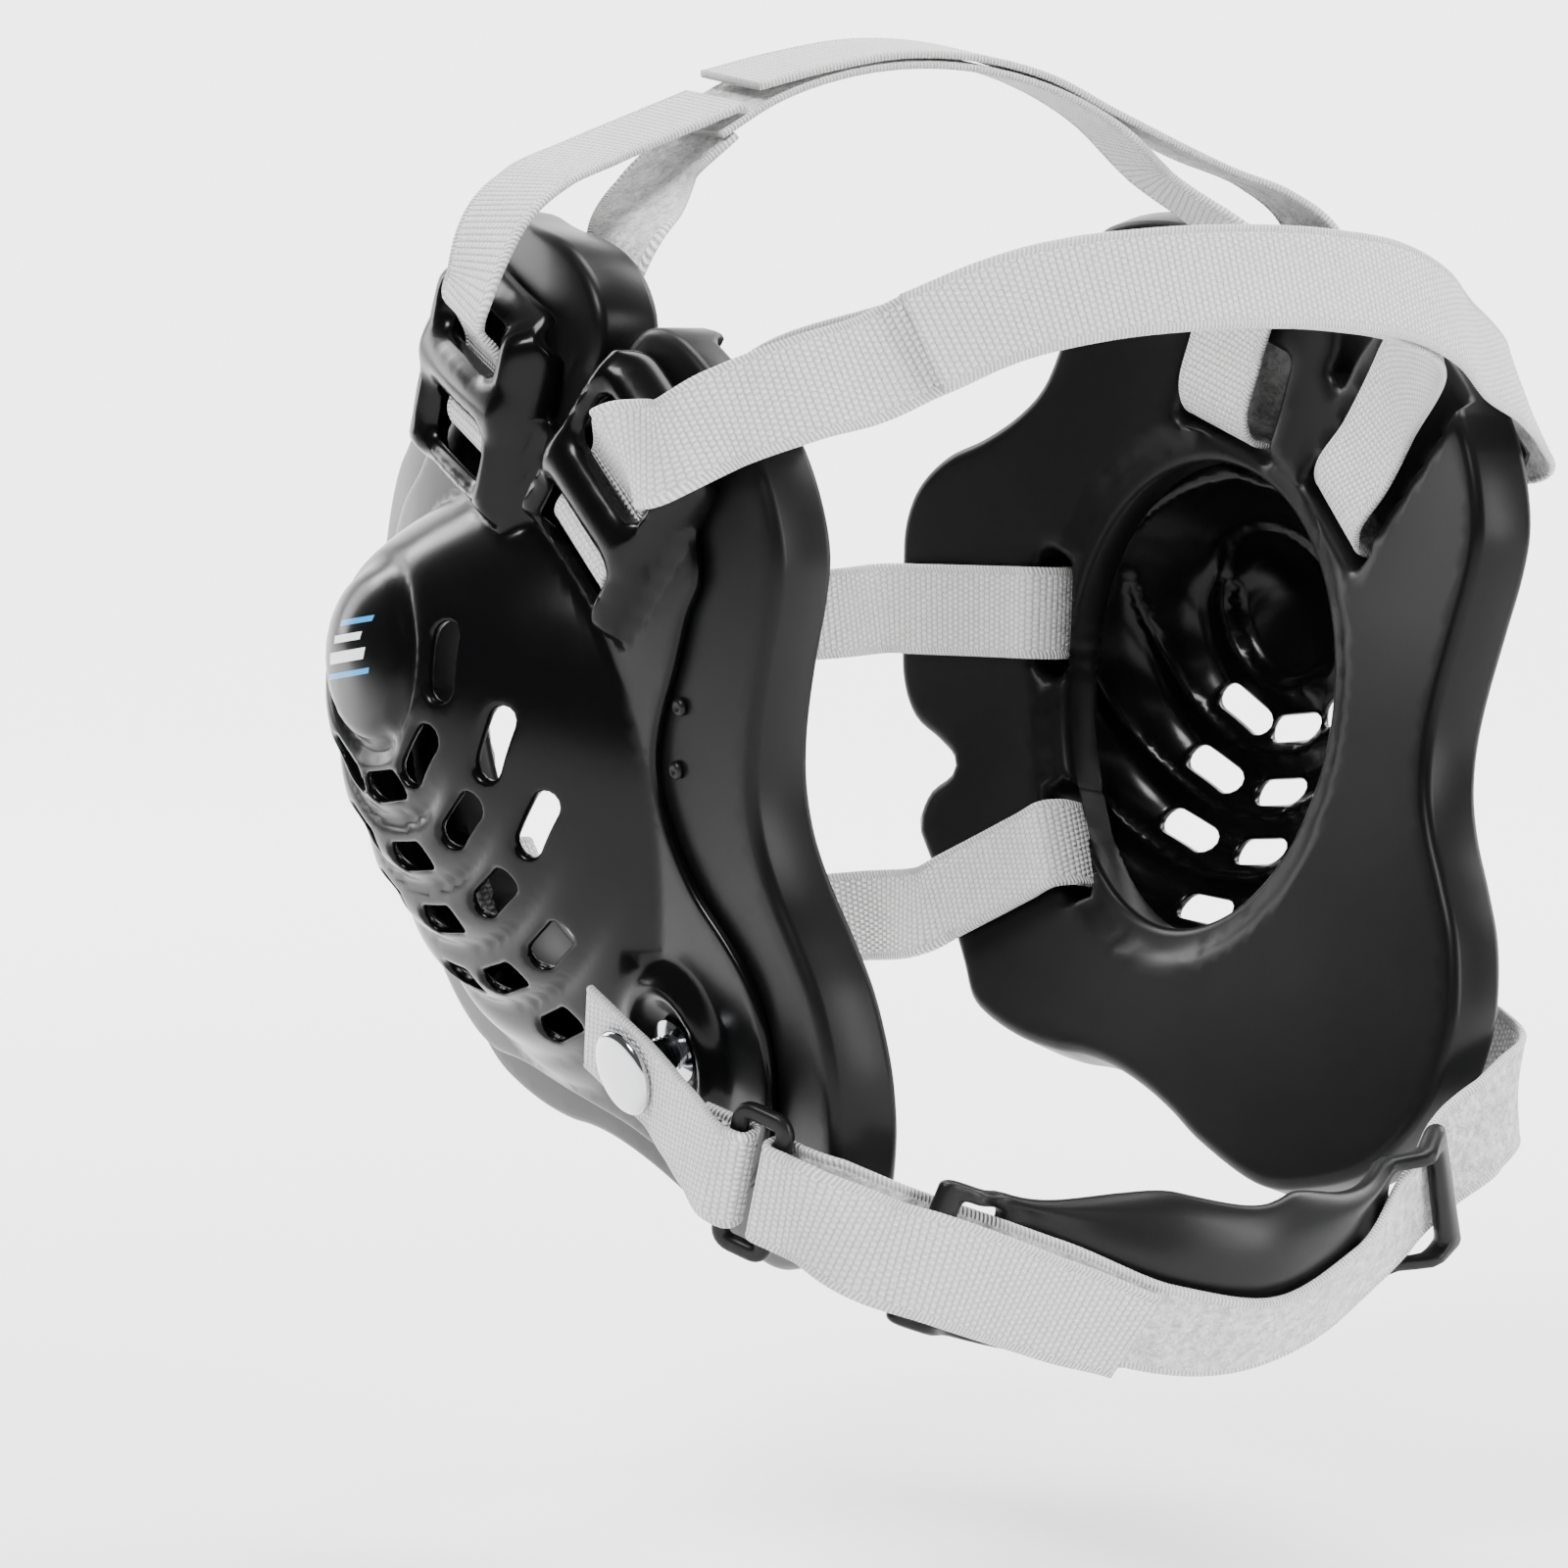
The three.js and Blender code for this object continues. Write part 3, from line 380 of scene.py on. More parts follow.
def flat_plate(loops, edge, spacing):
    """Triangles over a plate with holes, finer along its edges so that they can be rounded. Returns the
    points, their distance from the edge and the triangles, anticlockwise."""
    depths = [edge * (1 - math.cos(math.radians(turn))) for turn in EDGE_TURNS]
    rows = []
    for loop in loops:
        along = np.roll(loop, -1, axis=0) - np.roll(loop, 1, axis=0)
        aside = np.stack([-along[:, 1], along[:, 0]], 1) / np.linalg.norm(along, axis=1)[:, None]
        for depth in depths:
            rows += [(loop + aside * depth, depth), (loop - aside * depth, depth)]
    kept = []
    for row, depth in rows:
        reach, inside = measure(row, loops)
        kept.append(row[inside & (reach > depth * 0.97)])
    corners = np.concatenate(loops)
    low, high = corners.min(0), corners.max(0)
    grid = []
    step_up = spacing * math.sqrt(0.75)
    for j in range(int((high[1] - low[1]) / step_up) + 1):
        for i in range(int((high[0] - low[0]) / spacing) + 1):
            grid.append((low[0] + (i + 0.5 * (j % 2)) * spacing, low[1] + j * step_up))
    grid = np.array(grid)
    reach, inside = measure(grid, loops)
    kept.append(grid[inside & (reach > edge + 0.55 * spacing)])
    points = np.concatenate([corners, *kept])
    edges = []
    first = 0
    for loop in loops:
        count = len(loop)
        edges += [(first + i, first + (i + 1) % count) for i in range(count)]
        first += count
    found = delaunay_2d_cdt([Vector(p) for p in points], edges, [], 0, 1e-6)
    points = np.array([tuple(p) for p in found[0]])
    triangles = np.array([tuple(face) for face in found[2] if len(face) == 3])
    middles = points[triangles].mean(1)
    triangles = triangles[measure(middles, loops)[1]]
    a, b, c = (points[triangles[:, k]] for k in range(3))
    area = (b - a)[:, 0] * (c - a)[:, 1] - (b - a)[:, 1] * (c - a)[:, 0]
    triangles[area < 0] = triangles[area < 0][:, ::-1]
    triangles = triangles[np.abs(area) > 1e-9]
    return points, measure(points, loops)[0], triangles


def thick_plate(flat, place):
    """A closed body over a flat plate. place gives the upper and lower point from a place's back and up and
    its distance from the edge."""
    points, reach, triangles = flat
    pairs = [place(float(y), float(z), float(d)) for (y, z), d in zip(points, reach)]
    count = len(points)
    vertices = [pair[0] for pair in pairs] + [pair[1] for pair in pairs]
    faces = [tuple(int(v) for v in face) for face in triangles]
    sides = {}
    for face in faces:
        for i in range(3):
            sides[(face[i], face[(i + 1) % 3])] = True
    walls = [(i + count, j + count, j, i) for i, j in sides if (j, i) not in sides]
    under = [(face[2] + count, face[1] + count, face[0] + count) for face in faces]
    return vertices, faces + under + walls


def edge_drop(distance, radius):
    """How far a rounded edge lies below the face."""
    inset = max(0.0, radius - distance)
    return radius - math.sqrt(max(0.0, radius * radius - inset * inset))


def new_piece(name, body, side, node, slot, *finishes):
    """A finished piece from millimetres about the ears: mirrored to its side, placed and riding on root."""
    vertices, faces = body
    mesh = bpy.data.meshes.new(name)
    placed = [(v[0] * side * MM, v[1] * MM, (v[2] - CROWN_UP) * MM) for v in vertices]
    mesh.from_pydata(placed, [], faces if side > 0 else [tuple(reversed(face)) for face in faces])
    mesh.validate()
    piece = bpy.data.objects.new(name, mesh)
    bpy.context.scene.collection.objects.link(piece)
    mesh.polygons.foreach_set("use_smooth", [True] * len(mesh.polygons))
    mesh.update()
    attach(piece, "root")
    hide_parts(node)
    dress(mesh, *finishes)
    return piece


# Materials
def feed(material, node, inputs):
    """Sets a node's inputs, or links them where the value is another node's output."""
    for name, value in inputs.items():
        if isinstance(value, bpy.types.NodeSocket):
            material.node_tree.links.new(value, node.inputs[name])
        else:
            node.inputs[name].default_value = value


def add_node(material, kind, inputs, output=0, **settings):
    """Adds a node with its settings and inputs, and returns one of its outputs."""
    node = material.node_tree.nodes.new(kind)
    for key, value in settings.items():
        setattr(node, key, value)
    feed(material, node, inputs)
    return node.outputs[output]


def calc(material, operation, *values):
    return add_node(material, "ShaderNodeMath", dict(enumerate(values)), operation=operation)


def noise(material, scale, detail=2.0, **inputs):
    """Noise on the object's own coordinates. Its features are about 1 / scale metres across."""
    where = add_node(material, "ShaderNodeTexCoord", {}, "Object")
    inputs = {"Vector": where, "Scale": scale, "Detail": detail, **inputs}
    return add_node(material, "ShaderNodeTexNoise", inputs)


def mixed(material, factor, first, second):
    inputs = {"Factor": factor, "A": first, "B": second}
    return add_node(material, "ShaderNodeMix", inputs, "Result", data_type="RGBA")


def spread(material, value, low, high, first=0.0, last=1.0):
    """The value's span from first to last, spread from low to high."""
    return add_node(material, "ShaderNodeMapRange", {
        "Value": value, "From Min": first, "From Max": last, "To Min": low, "To Max": high})


def bumped(material, height, strength, distance):
    inputs = {"Strength": strength, "Distance": distance, "Height": height}
    return add_node(material, "ShaderNodeBump", inputs)


def map_place(material, name):
    """Millimetres across and along, from the piece's own map."""
    where = add_node(material, "ShaderNodeUVMap", {}, uv_map=name)
    return [add_node(material, "ShaderNodeSeparateXYZ", {0: where}, output) for output in (0, 1)]


def colours():
    return bpy.context.scene.guard_colours


def sizes():
    return bpy.context.scene.guard_sizes


def foam_recipe(material):
    """Closed-cell EVA foam with a moulded skin: black and satin, with a pebble of about 0.7 mm and softer
    patches of about 25 mm."""
    patch = noise(material, 40.0)
    return {
        "Base Color": mixed(material, patch, colours().foam, linear("#0F0F10")),
        "Roughness": spread(material, patch, 0.32, 0.4),
        "Normal": bumped(material, noise(material, 1400.0, 3.0), 0.12, 0.00008),
        "IOR": 1.24,
    }


# The print: slanted bars as left, right, low and high in millimetres from the middle of the print. They rise
# towards the front, as lines of print would.
WHITE_BARS = [(-7.5, 5.5, -1.6, 0.2), (-5.5, 3.5, 1.6, 2.8)]
BLUE_BARS = [(-8.0, 7.5, -4.0, -3.1), (-4.0, 5.0, 4.2, 5.1)]
BAR_SLANT = 0.3
BAR_CLIMB = 0.18
PRINT_MIDDLE = (9, 25)
OFF_PRINT = (999.0, 999.0)


def bar_mask(material, across, up, box):
    """One bar of the print: 1 inside the box, 0 outside."""
    left, right, low, high = box
    leaned = calc(material, "SUBTRACT", across, calc(material, "MULTIPLY", up, BAR_SLANT))
    result = calc(material, "GREATER_THAN", leaned, left)
    for test in (("LESS_THAN", leaned, right), ("GREATER_THAN", up, low), ("LESS_THAN", up, high)):
        result = calc(material, "MULTIPLY", result, calc(material, *test))
    return result


def shell_recipe(material):
    """Injection-moulded polypropylene, polished tool: deep black gloss with a slight flow ripple. Two inks
    print plain slanted bars on the dome."""
    ripple = noise(material, 90.0, 1.0)
    both = calc(material, "ADD", ripple, calc(material, "MULTIPLY", noise(material, 900.0), 0.08))
    across, height = map_place(material, "Print")
    up = calc(material, "SUBTRACT", height, calc(material, "MULTIPLY", across, BAR_CLIMB))
    colour = colours().shell
    for ink, boxes in ((colours().print_white, WHITE_BARS), (colours().print_blue, BLUE_BARS)):
        masks = [bar_mask(material, across, up, box) for box in boxes]
        colour = mixed(material, calc(material, "MAXIMUM", *masks), colour, ink)
    return {
        "Base Color": colour,
        "Roughness": spread(material, ripple, 0.17, 0.25),
        "Normal": bumped(material, both, 0.25, 0.0002),
        "IOR": 1.26,
    }


def cup_recipe(material):
    """Soft thermoplastic elastomer: charcoal, satin, with a fine moulded grain."""
    return {
        "Base Color": mixed(material, noise(material, 60.0), colours().cup, linear("#151516")),
        "Normal": bumped(material, noise(material, 1100.0), 0.15, 0.00008),
        "Roughness": 0.36,
        "IOR": 1.3,
    }


def metal_recipe(material):
    """Nickel-chrome plated brass: bright mirror with faint scuffs."""
    return {
        "Roughness": spread(material, noise(material, 700.0, 4.0), 0.06, 0.16),
        "Base Color": linear("#CDCED1"),
        "Metallic": 1.0,
    }


def paper_recipe(material):
    """Matt studio paper, near white, with a very faint tooth."""
    return {
        "Base Color": mixed(material, noise(material, 300.0), linear("#F6F6F6"), linear("#FCFCFC")),
        "Roughness": 0.95,
        "Specular IOR Level": 0.1,
    }


def yarn_recipe(lift, shade_depth, distance):
    """Woven polypropylene yarn: matt and off-white, with painted shade in the hollows of the weave, cords and
    pile.
    Single fibres are 0.05 mm, drawn at about 0.25 mm so that they show."""
    def recipe(material):
        fibre = calc(material, "MULTIPLY", noise(material, 4000.0), 0.35)
        full = calc(material, "ADD", lift(material), fibre)
        # Painted shade: where the lift is low, the colour goes from the yarn's colour towards the painted
        # shade
        factor = spread(material, full, 1 - shade_depth, 1.0, 0.1, 0.75)
        return {
            "Base Color": mixed(material, factor, colours().painted_yarn_shade, colours().webbing),
            "Normal": bumped(material, full, 1.0, distance),
            "Roughness": 0.85,
            "Sheen Weight": 0.25,
            "Sheen Roughness": 0.4,
            "IOR": 1.49,
        }
    return recipe


# The weave's pitch across and along, and the selvedge's pitch and lean
YARN_ACROSS = 1.15
YARN_ALONG = 1.3
CORD_PITCH = 0.8
CORD_LEAN = 0.4


def weave_lift(material):
    """Plain-woven webbing: staggered yarn crowns."""
    across, along = map_place(material, "Weave")
    row = calc(material, "DIVIDE", along, YARN_ALONG)
    stagger = calc(material, "MULTIPLY", calc(material, "FLOOR", row), 0.5)
    place = calc(material, "ADD", calc(material, "DIVIDE", across, YARN_ACROSS), stagger)
    wave = calc(material, "SINE", calc(material, "MULTIPLY", place, 2 * math.pi))
    crown = calc(material, "MULTIPLY_ADD", wave, 0.5, 0.5)
    rib = calc(material, "ABSOLUTE", calc(material, "SINE", calc(material, "MULTIPLY", row, math.pi)))
    return calc(material, "MULTIPLY", calc(material, "POWER", rib, 0.6),
                calc(material, "MULTIPLY_ADD", crown, 0.75, 0.25))


def selvedge_lift(material):
    """Woven edge rib: small cords side by side."""
    across, along = map_place(material, "Weave")
    leaned = calc(material, "ADD", calc(material, "DIVIDE", along, CORD_PITCH),
                  calc(material, "MULTIPLY", across, CORD_LEAN))
    wave = calc(material, "SINE", calc(material, "MULTIPLY", leaned, 2 * math.pi))
    return calc(material, "MULTIPLY_ADD", wave, 0.5, 0.5)


def loop_lift(material):
    """Napped loop tape: a random pile of soft fibres."""
    pile = noise(material, 1100.0, 4.0, Roughness=0.7, Distortion=0.8)
    tuft = noise(material, 420.0)
    both = calc(material, "MULTIPLY_ADD", tuft, 0.5, calc(material, "MULTIPLY", pile, 0.8))
    return calc(material, "MULTIPLY_ADD", both, 2.4, -1.3)


FINISHES = {
    "foam": ("EVA foam, moulded skin", foam_recipe),
    "shell": ("Polypropylene, gloss moulded", shell_recipe),
    "cup": ("TPE elastomer, satin moulded", cup_recipe),
    "metal": ("Chrome plate, polished", metal_recipe),
    "paper": ("Studio paper, matt", paper_recipe),
    "weave": ("Polypropylene webbing, coarse weave", yarn_recipe(weave_lift, 0.9, 0.0009)),
    "selvedge": ("Polypropylene webbing, selvedge", yarn_recipe(selvedge_lift, 0.8, 0.0006)),
    "loop": ("Loop tape, napped pile", yarn_recipe(loop_lift, 0.75, 0.0006)),
}


def dress(mesh, *finishes):
    """Gives the mesh its materials. Each is built when it is first asked for."""
    for finish in finishes:
        name, recipe = FINISHES[finish]
        material = bpy.data.materials.get(name)
        if material is None:
            material = bpy.data.materials.new(name)
            material.use_nodes = True
            feed(material, material.node_tree.nodes["Principled BSDF"], recipe(material))
        mesh.materials.append(material)


# Pads
CHANNEL_DEPTH = 4.0
CHANNEL_SLOPE = 2.4
SEAT_DEPTH = WEB_THICKNESS + 3 * SEAT_GAP
SEAT_SPAN = (-3, 18)
WALL_SLOPE = 1.6


def pad_loops():
    hole = (EAR_HOLE["middle"], EAR_HOLE["half_length"], EAR_HOLE["half_height"], EAR_HOLE["lean"])
    loops = [closed_curve([shared(share) for share in PAD_OUTLINE], PAD_LINE_STEP), ellipse(*hole, 150)]
    for tab in (TOWER, BROW):
        corners = tab.box(tab.foam_slot, WEBBING / 2 + 2 * SLIDE_GAP, tab.foam_shift)
        loops.append(rounded(corners, 2.5, PAD_LINE_STEP))
    for middle, degrees in BACK_ANCHORS.values():
        loops.append(slot_line(middle, WEBBING + 2 * SLIDE_GAP + 4, 6.4, math.radians(degrees + 90)))
    return loops


def recess_depth(y, z):
    """The channel on the inner face that leads the front strap to the pad's front corner."""
    along, across = BROW.within(y, z)
    inset = min(along - (BROW.foam_slot[1] - 2), WEBBING / 2 + SLIDE_GAP + 0.8 - abs(across))
    return CHANNEL_DEPTH * smooth_step(0, CHANNEL_SLOPE, inset)


def anchor_depth(y, z):
    """The seat on the outer face for the end of each back strap."""
    depth = 0.0
    for middle, degrees in BACK_ANCHORS.values():
        along, across = along_across(y, z, middle, math.radians(degrees))
        half = WEBBING / 2 + SLIDE_GAP + 0.6
        inset = min(along - SEAT_SPAN[0], SEAT_SPAN[1] - along, half - abs(across))
        depth = max(depth, SEAT_DEPTH * smooth_step(0, WALL_SLOPE, inset))
    return depth


def rim_depth(y, z):
    """The step round the ear hole on the inner face."""
    along, across = along_across(y, z, EAR_HOLE["middle"], math.radians(EAR_HOLE["lean"]))
    share = math.hypot(along / EAR_HOLE["half_length"], across / EAR_HOLE["half_height"])
    reach = (share - 1) * EAR_HOLE["half_length"]
    return EAR_HOLE["rim_depth"] * (1 - smooth_step(EAR_HOLE["rim"] - WALL_SLOPE, EAR_HOLE["rim"], reach))


def pad_place(y, z, distance):
    drop = edge_drop(distance, sizes().foam_edge)
    inner = drop + max(recess_depth(y, z), rim_depth(y, z))
    return (on_guard(y, z, FOAM - drop - anchor_depth(y, z)), on_guard(y, z, inner))


# Shells
DOME_TOP = (9.0, 24.0)
DOME_FOOT = (2.0, -3.0)
DOME_HALF = (48.0, 53.0)
DOME_RISE = 24.6
DOME_POWER = 2.1
DOME_REAR_POWER = 0.5
DOME_SEAM = 0.22
TERRACE_PITCH = 11.7
TERRACE_FIRST = 15.0
SLOT_PITCH = 12
SLOT_SIZE = (13, 5)
HUMP_FILLET = 3.6


def dome_polar(y, z):
    """How far out a place lies from the dome's top to its foot, and how far to the rear."""
    dy, dz = y - DOME_TOP[0], z - DOME_TOP[1]
    reach = math.hypot(dy, dz)
    if reach < 1e-6:
        return 0.0, 1.0
    half_y, half_z = DOME_HALF
    off_y, off_z = DOME_TOP[0] - DOME_FOOT[0], DOME_TOP[1] - DOME_FOOT[1]
    a = (dy / half_y) ** 2 + (dz / half_z) ** 2
    b = 2 * (dy * off_y / half_y ** 2 + dz * off_z / half_z ** 2)
    c = (off_y / half_y) ** 2 + (off_z / half_z) ** 2 - 1
    return 2 * a / (math.sqrt(b * b - 4 * a * c) - b), dy / reach


def terrace(y, z):
    """Creases round the print, deepest below and behind it, that part the dome into terraces."""
    dz = z - DOME_TOP[1]
    reach = math.hypot(y - DOME_TOP[0], dz) + 1e-6
    share, rearward = dome_polar(y, z)
    inside = smooth_step(0, DOME_SEAM, 1 - share)
    below = smooth_step(-0.35, 0.35, -dz / reach + 0.35 * rearward)
    rear = smooth_step(-0.85, -0.4, rearward)
    phase = (reach - TERRACE_FIRST) / TERRACE_PITCH
    if phase > 0:
        bulge = abs(math.sin(math.pi * phase)) ** 0.9
    else:
        bulge = 1 - smooth_step(-0.28, 0, phase)
    crease = (1 - bulge) * below * rear * inside
    ring = (1 - smooth_step(0, DOME_SEAM, abs(phase))) * 0.45 * inside
    return -sizes().terrace_depth * max(crease, ring)


def dome_rise(y, z):
    share, rearward = dome_polar(y, z)
    if share >= 1:
        return 0.0
    fall = share ** (DOME_POWER + DOME_REAR_POWER * rearward)
    return max(0.0, DOME_RISE * (1 - fall) + terrace(y, z))


def shell_rise(y, z):
    """Height of the shell over its flange. Humps run into each other with a soft fillet."""
    reach = math.hypot(y - SNAP_MIDDLE[0], z - SNAP_MIDDLE[1])
    lip = BOWL_RISE * (1 - smooth_step(BOWL_RADIUS, BOWL_RADIUS + BOWL_LIP, reach))
    *_, next_one, highest = sorted([dome_rise(y, z), TOWER.height(y, z), BROW.height(y, z), lip])
    if highest - next_one < HUMP_FILLET and next_one > 0.05:
        highest += (HUMP_FILLET - (highest - next_one)) ** 2 / (4 * HUMP_FILLET)
    return highest * smooth_step(BOWL_RADIUS * 0.45, BOWL_RADIUS, reach)


def shell_loops():
    """The shell's outer line, the windows of its tabs and the slots of its dome."""
    flange = closed_curve([shared(share) for share in FLANGE_OUTLINE], LINE_STEP)
    loops = [outer_line([flange, *(rounded(tab.outline(), 6.0, LINE_STEP) for tab in (TOWER, BROW))])]
    for tab in (TOWER, BROW):
        for window in (tab.rear_window, tab.front_window):
            loops.append(rounded(tab.box(window, WEBBING / 2 + 1), 3.5, LINE_STEP))
    return loops + dome_slot_lines()


def outer_line(lines):
    """The line round several closed lines that overlap, as one anticlockwise line."""
    points = [Vector(p) for line in lines for p in line]
    found = delaunay_2d_cdt(points, [], split_faces(lines), 1, 1e-5)
    points, faces = found[0], found[2]
    sides = set()
    for face in faces:
        flat = [points[v] for v in face]
        area = sum(flat[i].x * flat[(i + 1) % len(flat)].y - flat[(i + 1) % len(flat)].x * flat[i].y
                   for i in range(len(flat)))
        order = list(face) if area > 0 else list(reversed(face))
        sides |= {(order[i], order[(i + 1) % len(order)]) for i in range(len(order))}
    after = {i: j for i, j in sides if (j, i) not in sides}
    longest = []
    left = set(after)
    while left:
        start = min(left)
        ring = [start]
        left.discard(start)
        while after[ring[-1]] in left:
            ring.append(after[ring[-1]])
            left.discard(ring[-1])
        longest = max(longest, ring, key=len)
    line = spaced(np.array([tuple(points[v]) for v in longest]), LINE_STEP)
    for _ in range(6):
        line = 0.25 * np.roll(line, 1, axis=0) + 0.5 * line + 0.25 * np.roll(line, -1, axis=0)
    return line


def split_faces(lines):
    faces = []
    first = 0
    for line in lines:
        faces.append(list(range(first, first + len(line))))
        first += len(line)
    return faces


def dome_slot_lines():
    lines = []
    for ring, turns in SLOT_ROWS:
        for turn in turns:
            angle = math.radians(turn)
            middle = turned_point(DOME_TOP, ring * SLOT_PITCH, 0, angle)
            lines.append(slot_line(middle, *SLOT_SIZE, angle + math.pi / 2))
    return lines


def shell_place(y, z, distance):
    """Upper and lower point of the shell: its wall thickens on slopes and fills the swollen loops."""
    rise = shell_rise(y, z)
    loop = max(tab.height(y, z) for tab in (TOWER, BROW)) / TAB_RISE
    tube = edge_drop(distance, LOOP_EDGE) * 0.75 * smooth_step(0.5, 1, loop)
    step = 0.6
    slope_back = (shell_rise(y + step, z) - shell_rise(y - step, z)) / (2 * step)
    slope_up = (shell_rise(y, z + step) - shell_rise(y, z - step)) / (2 * step)
    top = SHELL_SEAT + SHELL_WALL + rise
    wall = SHELL_WALL * min(1.7, math.hypot(1, slope_back, slope_up))
    swell = LOOP_SWELL * smooth_step(TAB_RISE, TAB_RISE + LOOP_SWELL, rise) * min(1, loop)
    drop = edge_drop(distance, sizes().shell_edge)
    under = max(SHELL_SEAT, top - wall - swell)
    return (on_guard(y, z, top - max(drop, tube)), on_guard(y, z, under + drop * 0.6))


# Webbing
def curve_point(points, t):
    """Centripetal Catmull-Rom through the points, at a share t of its spans."""
    spans = len(points) - 1
    span = min(int(t * spans), spans - 1)
    weight = t * spans - span
    p1, p2 = points[span], points[span + 1]
    p0 = points[span - 1] if span > 0 else p1 * 2 - p2
    p3 = points[span + 2] if span + 2 <= spans else p2 * 2 - p1
    d0, d1, d2 = (max(math.sqrt((b - a).length), 1e-4) for a, b in ((p0, p1), (p1, p2), (p2, p3)))
    t1 = ((p1 - p0) / d0 - (p2 - p0) / (d0 + d1) + (p2 - p1) / d1) * d1
    t2 = ((p2 - p1) / d1 - (p3 - p1) / (d1 + d2) + (p3 - p2) / d2) * d1
    bend = p1 * -3 + p2 * 3 - t1 * 2 - t2
    rest = p1 * 2 - p2 * 2 + t1 + t2
    return p1 + t1 * weight + bend * weight ** 2 + rest * weight ** 3


def path_frame(stations, t):
    """Place, run, across and face of a strap at a share of its length."""
    points = [station[0] for station in stations]
    spans = len(points) - 1
    span = min(int(t * spans), spans - 1)
    share = smooth_step(0, 1, t * spans - span)
    across = stations[span][1].lerp(stations[span + 1][1], share)
    run = (curve_point(points, min(1, t + 1e-3)) - curve_point(points, max(0, t - 1e-3))).normalized()
    across = (across - run * across.dot(run)).normalized()
    return curve_point(points, t), run, across, run.cross(across)


def mirror(vector, side):
    return Vector((vector[0] * side, vector[1], vector[2]))


def guard_station(side, spot, out, wide):
    at = on_guard(spot[0], spot[1], out)
    across = (on_guard(spot[0] + wide[0], spot[1] + wide[1], out) - at).normalized()
    return (mirror(at, side), mirror(across, side))


def head_station(side, x, y, z, wide):
    return (Vector((x * side, y, z)), mirror(Vector(wide), side))


SHELL_SEAT = FOAM + SEAT_GAP
BEHIND_BAR = (SHELL_SEAT + FOAM + TAB_RISE) / 2 + 1.2
OVER_TAB = SHELL_SEAT + SHELL_WALL + TAB_RISE + WEB_THICKNESS / 2 + RUN_GAP
INNER_RUN = -WEB_THICKNESS / 2 - RUN_GAP


def tab_loop(side, tab, leave, veer):
    """Out of the foam slot, up into the rear window, behind the bar and over the tab's front edge, where the
    strap may veer across the tab."""
    slot = tab.foam_slot[0] + WEB_THICKNESS
    opening = tab.front_window
    rows = [
        (leave, 0, INNER_RUN - LAYER_STEP), ((leave + slot) / 2, 0, INNER_RUN), (slot + 7, 0, INNER_RUN),
        (slot + 1.6, 0, FOAM * 0.1), (slot, 0, FOAM * 0.45), (slot - 0.3, 0, FOAM * 0.95),
        (slot + 0.4, 0, BEHIND_BAR - 0.3), (slot + 3, 0, BEHIND_BAR + 1.3), (-BAR_HALF, 0, BEHIND_BAR + 0.7),
        (opening[0] - 0.5, 0, BEHIND_BAR), ((opening[0] + opening[1]) / 2, 0, (BEHIND_BAR + OVER_TAB) / 2),
        (opening[1] - 1.4, -0.35 * veer, OVER_TAB + 0.3), (tab.front - 0.35 * veer, -veer, OVER_TAB),
    ]
    wide = (math.sin(tab.turn), -math.cos(tab.turn))
    return [guard_station(side, tab.place(along, across), out, wide) for along, across, out in rows]


ARCH_FOOT = shared((0, 0.435))[1]
ARCH_WIDE = (0, 0.98, 0.17)
ARCH_BACK = -3.0


def arch_station(side, degrees, layer):
    turn = math.radians(degrees)
    lift = layer * LAYER_STEP
    x = (ARCH_HALF_WIDTH + lift) * math.sin(turn)
    z = ARCH_FOOT + (CROWN_HEIGHT - ARCH_FOOT + lift) * math.cos(turn)
    return head_station(side, x, ARCH_BACK, z, ARCH_WIDE)


def steps_between(first, limit, step):
    values = []
    while first < limit:
        values.append(first)
        first += step
    return values


def top_strap(side, inner_degrees, inner_layer, outer_degrees, lift):
    inner = [arch_station(side, turn, inner_layer) for turn in steps_between(inner_degrees, 66, 14)]
    outer = [arch_station(side, turn, 1) for turn in steps_between(outer_degrees, 40, 14)]
    outer[0][0].z += lift
    lobe = on_guard(ARCH_BACK, shared((0, 0.547))[1], FOAM)
    bridge = [
        head_station(side, lobe.x + 8.5, ARCH_BACK - 5, lobe.z - 2.5, ARCH_WIDE),
        head_station(side, lobe.x - 1, ARCH_BACK - 3, lobe.z + 4.5, ARCH_WIDE),
        head_station(side, lobe.x - 16, ARCH_BACK, lobe.z + 10, ARCH_WIDE),
    ]
    return [*inner, *tab_loop(side, TOWER, 26, 0), *bridge, *reversed(outer)]


BROW_FOOT_BACK = shared((-0.368, 0))[0]
BROW_FOOT_UP = shared((0, 0.337))[1]
BROW_VEER = 8.5
BROW_SAG = 5
SAG_SPAN = (25, 60)


def brow_station(side, degrees, layer):
    turn = math.radians(degrees)
    lift = layer * LAYER_STEP
    x = (BROW_HALF_WIDTH + lift) * math.sin(turn)
    y = BROW_FOOT_BACK - (BROW_REACH + BROW_FOOT_BACK + lift) * math.cos(turn)
    sag = BROW_SAG * smooth_step(*SAG_SPAN, abs(degrees))
    return head_station(side, x, y, BROW_FOOT_UP + BROW_RISE * math.cos(turn) - sag, (0, 0.3, 0.95))


def front_strap(side, inner_degrees, outer_degrees, outer_layer):
    inner = [brow_station(side, turn, 0) for turn in steps_between(inner_degrees, 50, 12)]
    outer = [brow_station(side, turn, outer_layer) for turn in steps_between(outer_degrees, 56, 12)]
    corner = on_guard(*BROW.place(BROW.front + 6, -BROW_VEER), OVER_TAB - 2)
    bridge = [head_station(side, corner.x - 6, corner.y - 1, corner.z - 1, (0, 0.5, 0.86)),
              head_station(side, corner.x - 17, corner.y - 9, corner.z + 4, (0, 0.4, 0.91))]
    return [*inner, *tab_loop(side, BROW, 23, BROW_VEER), *bridge, *reversed(outer)]


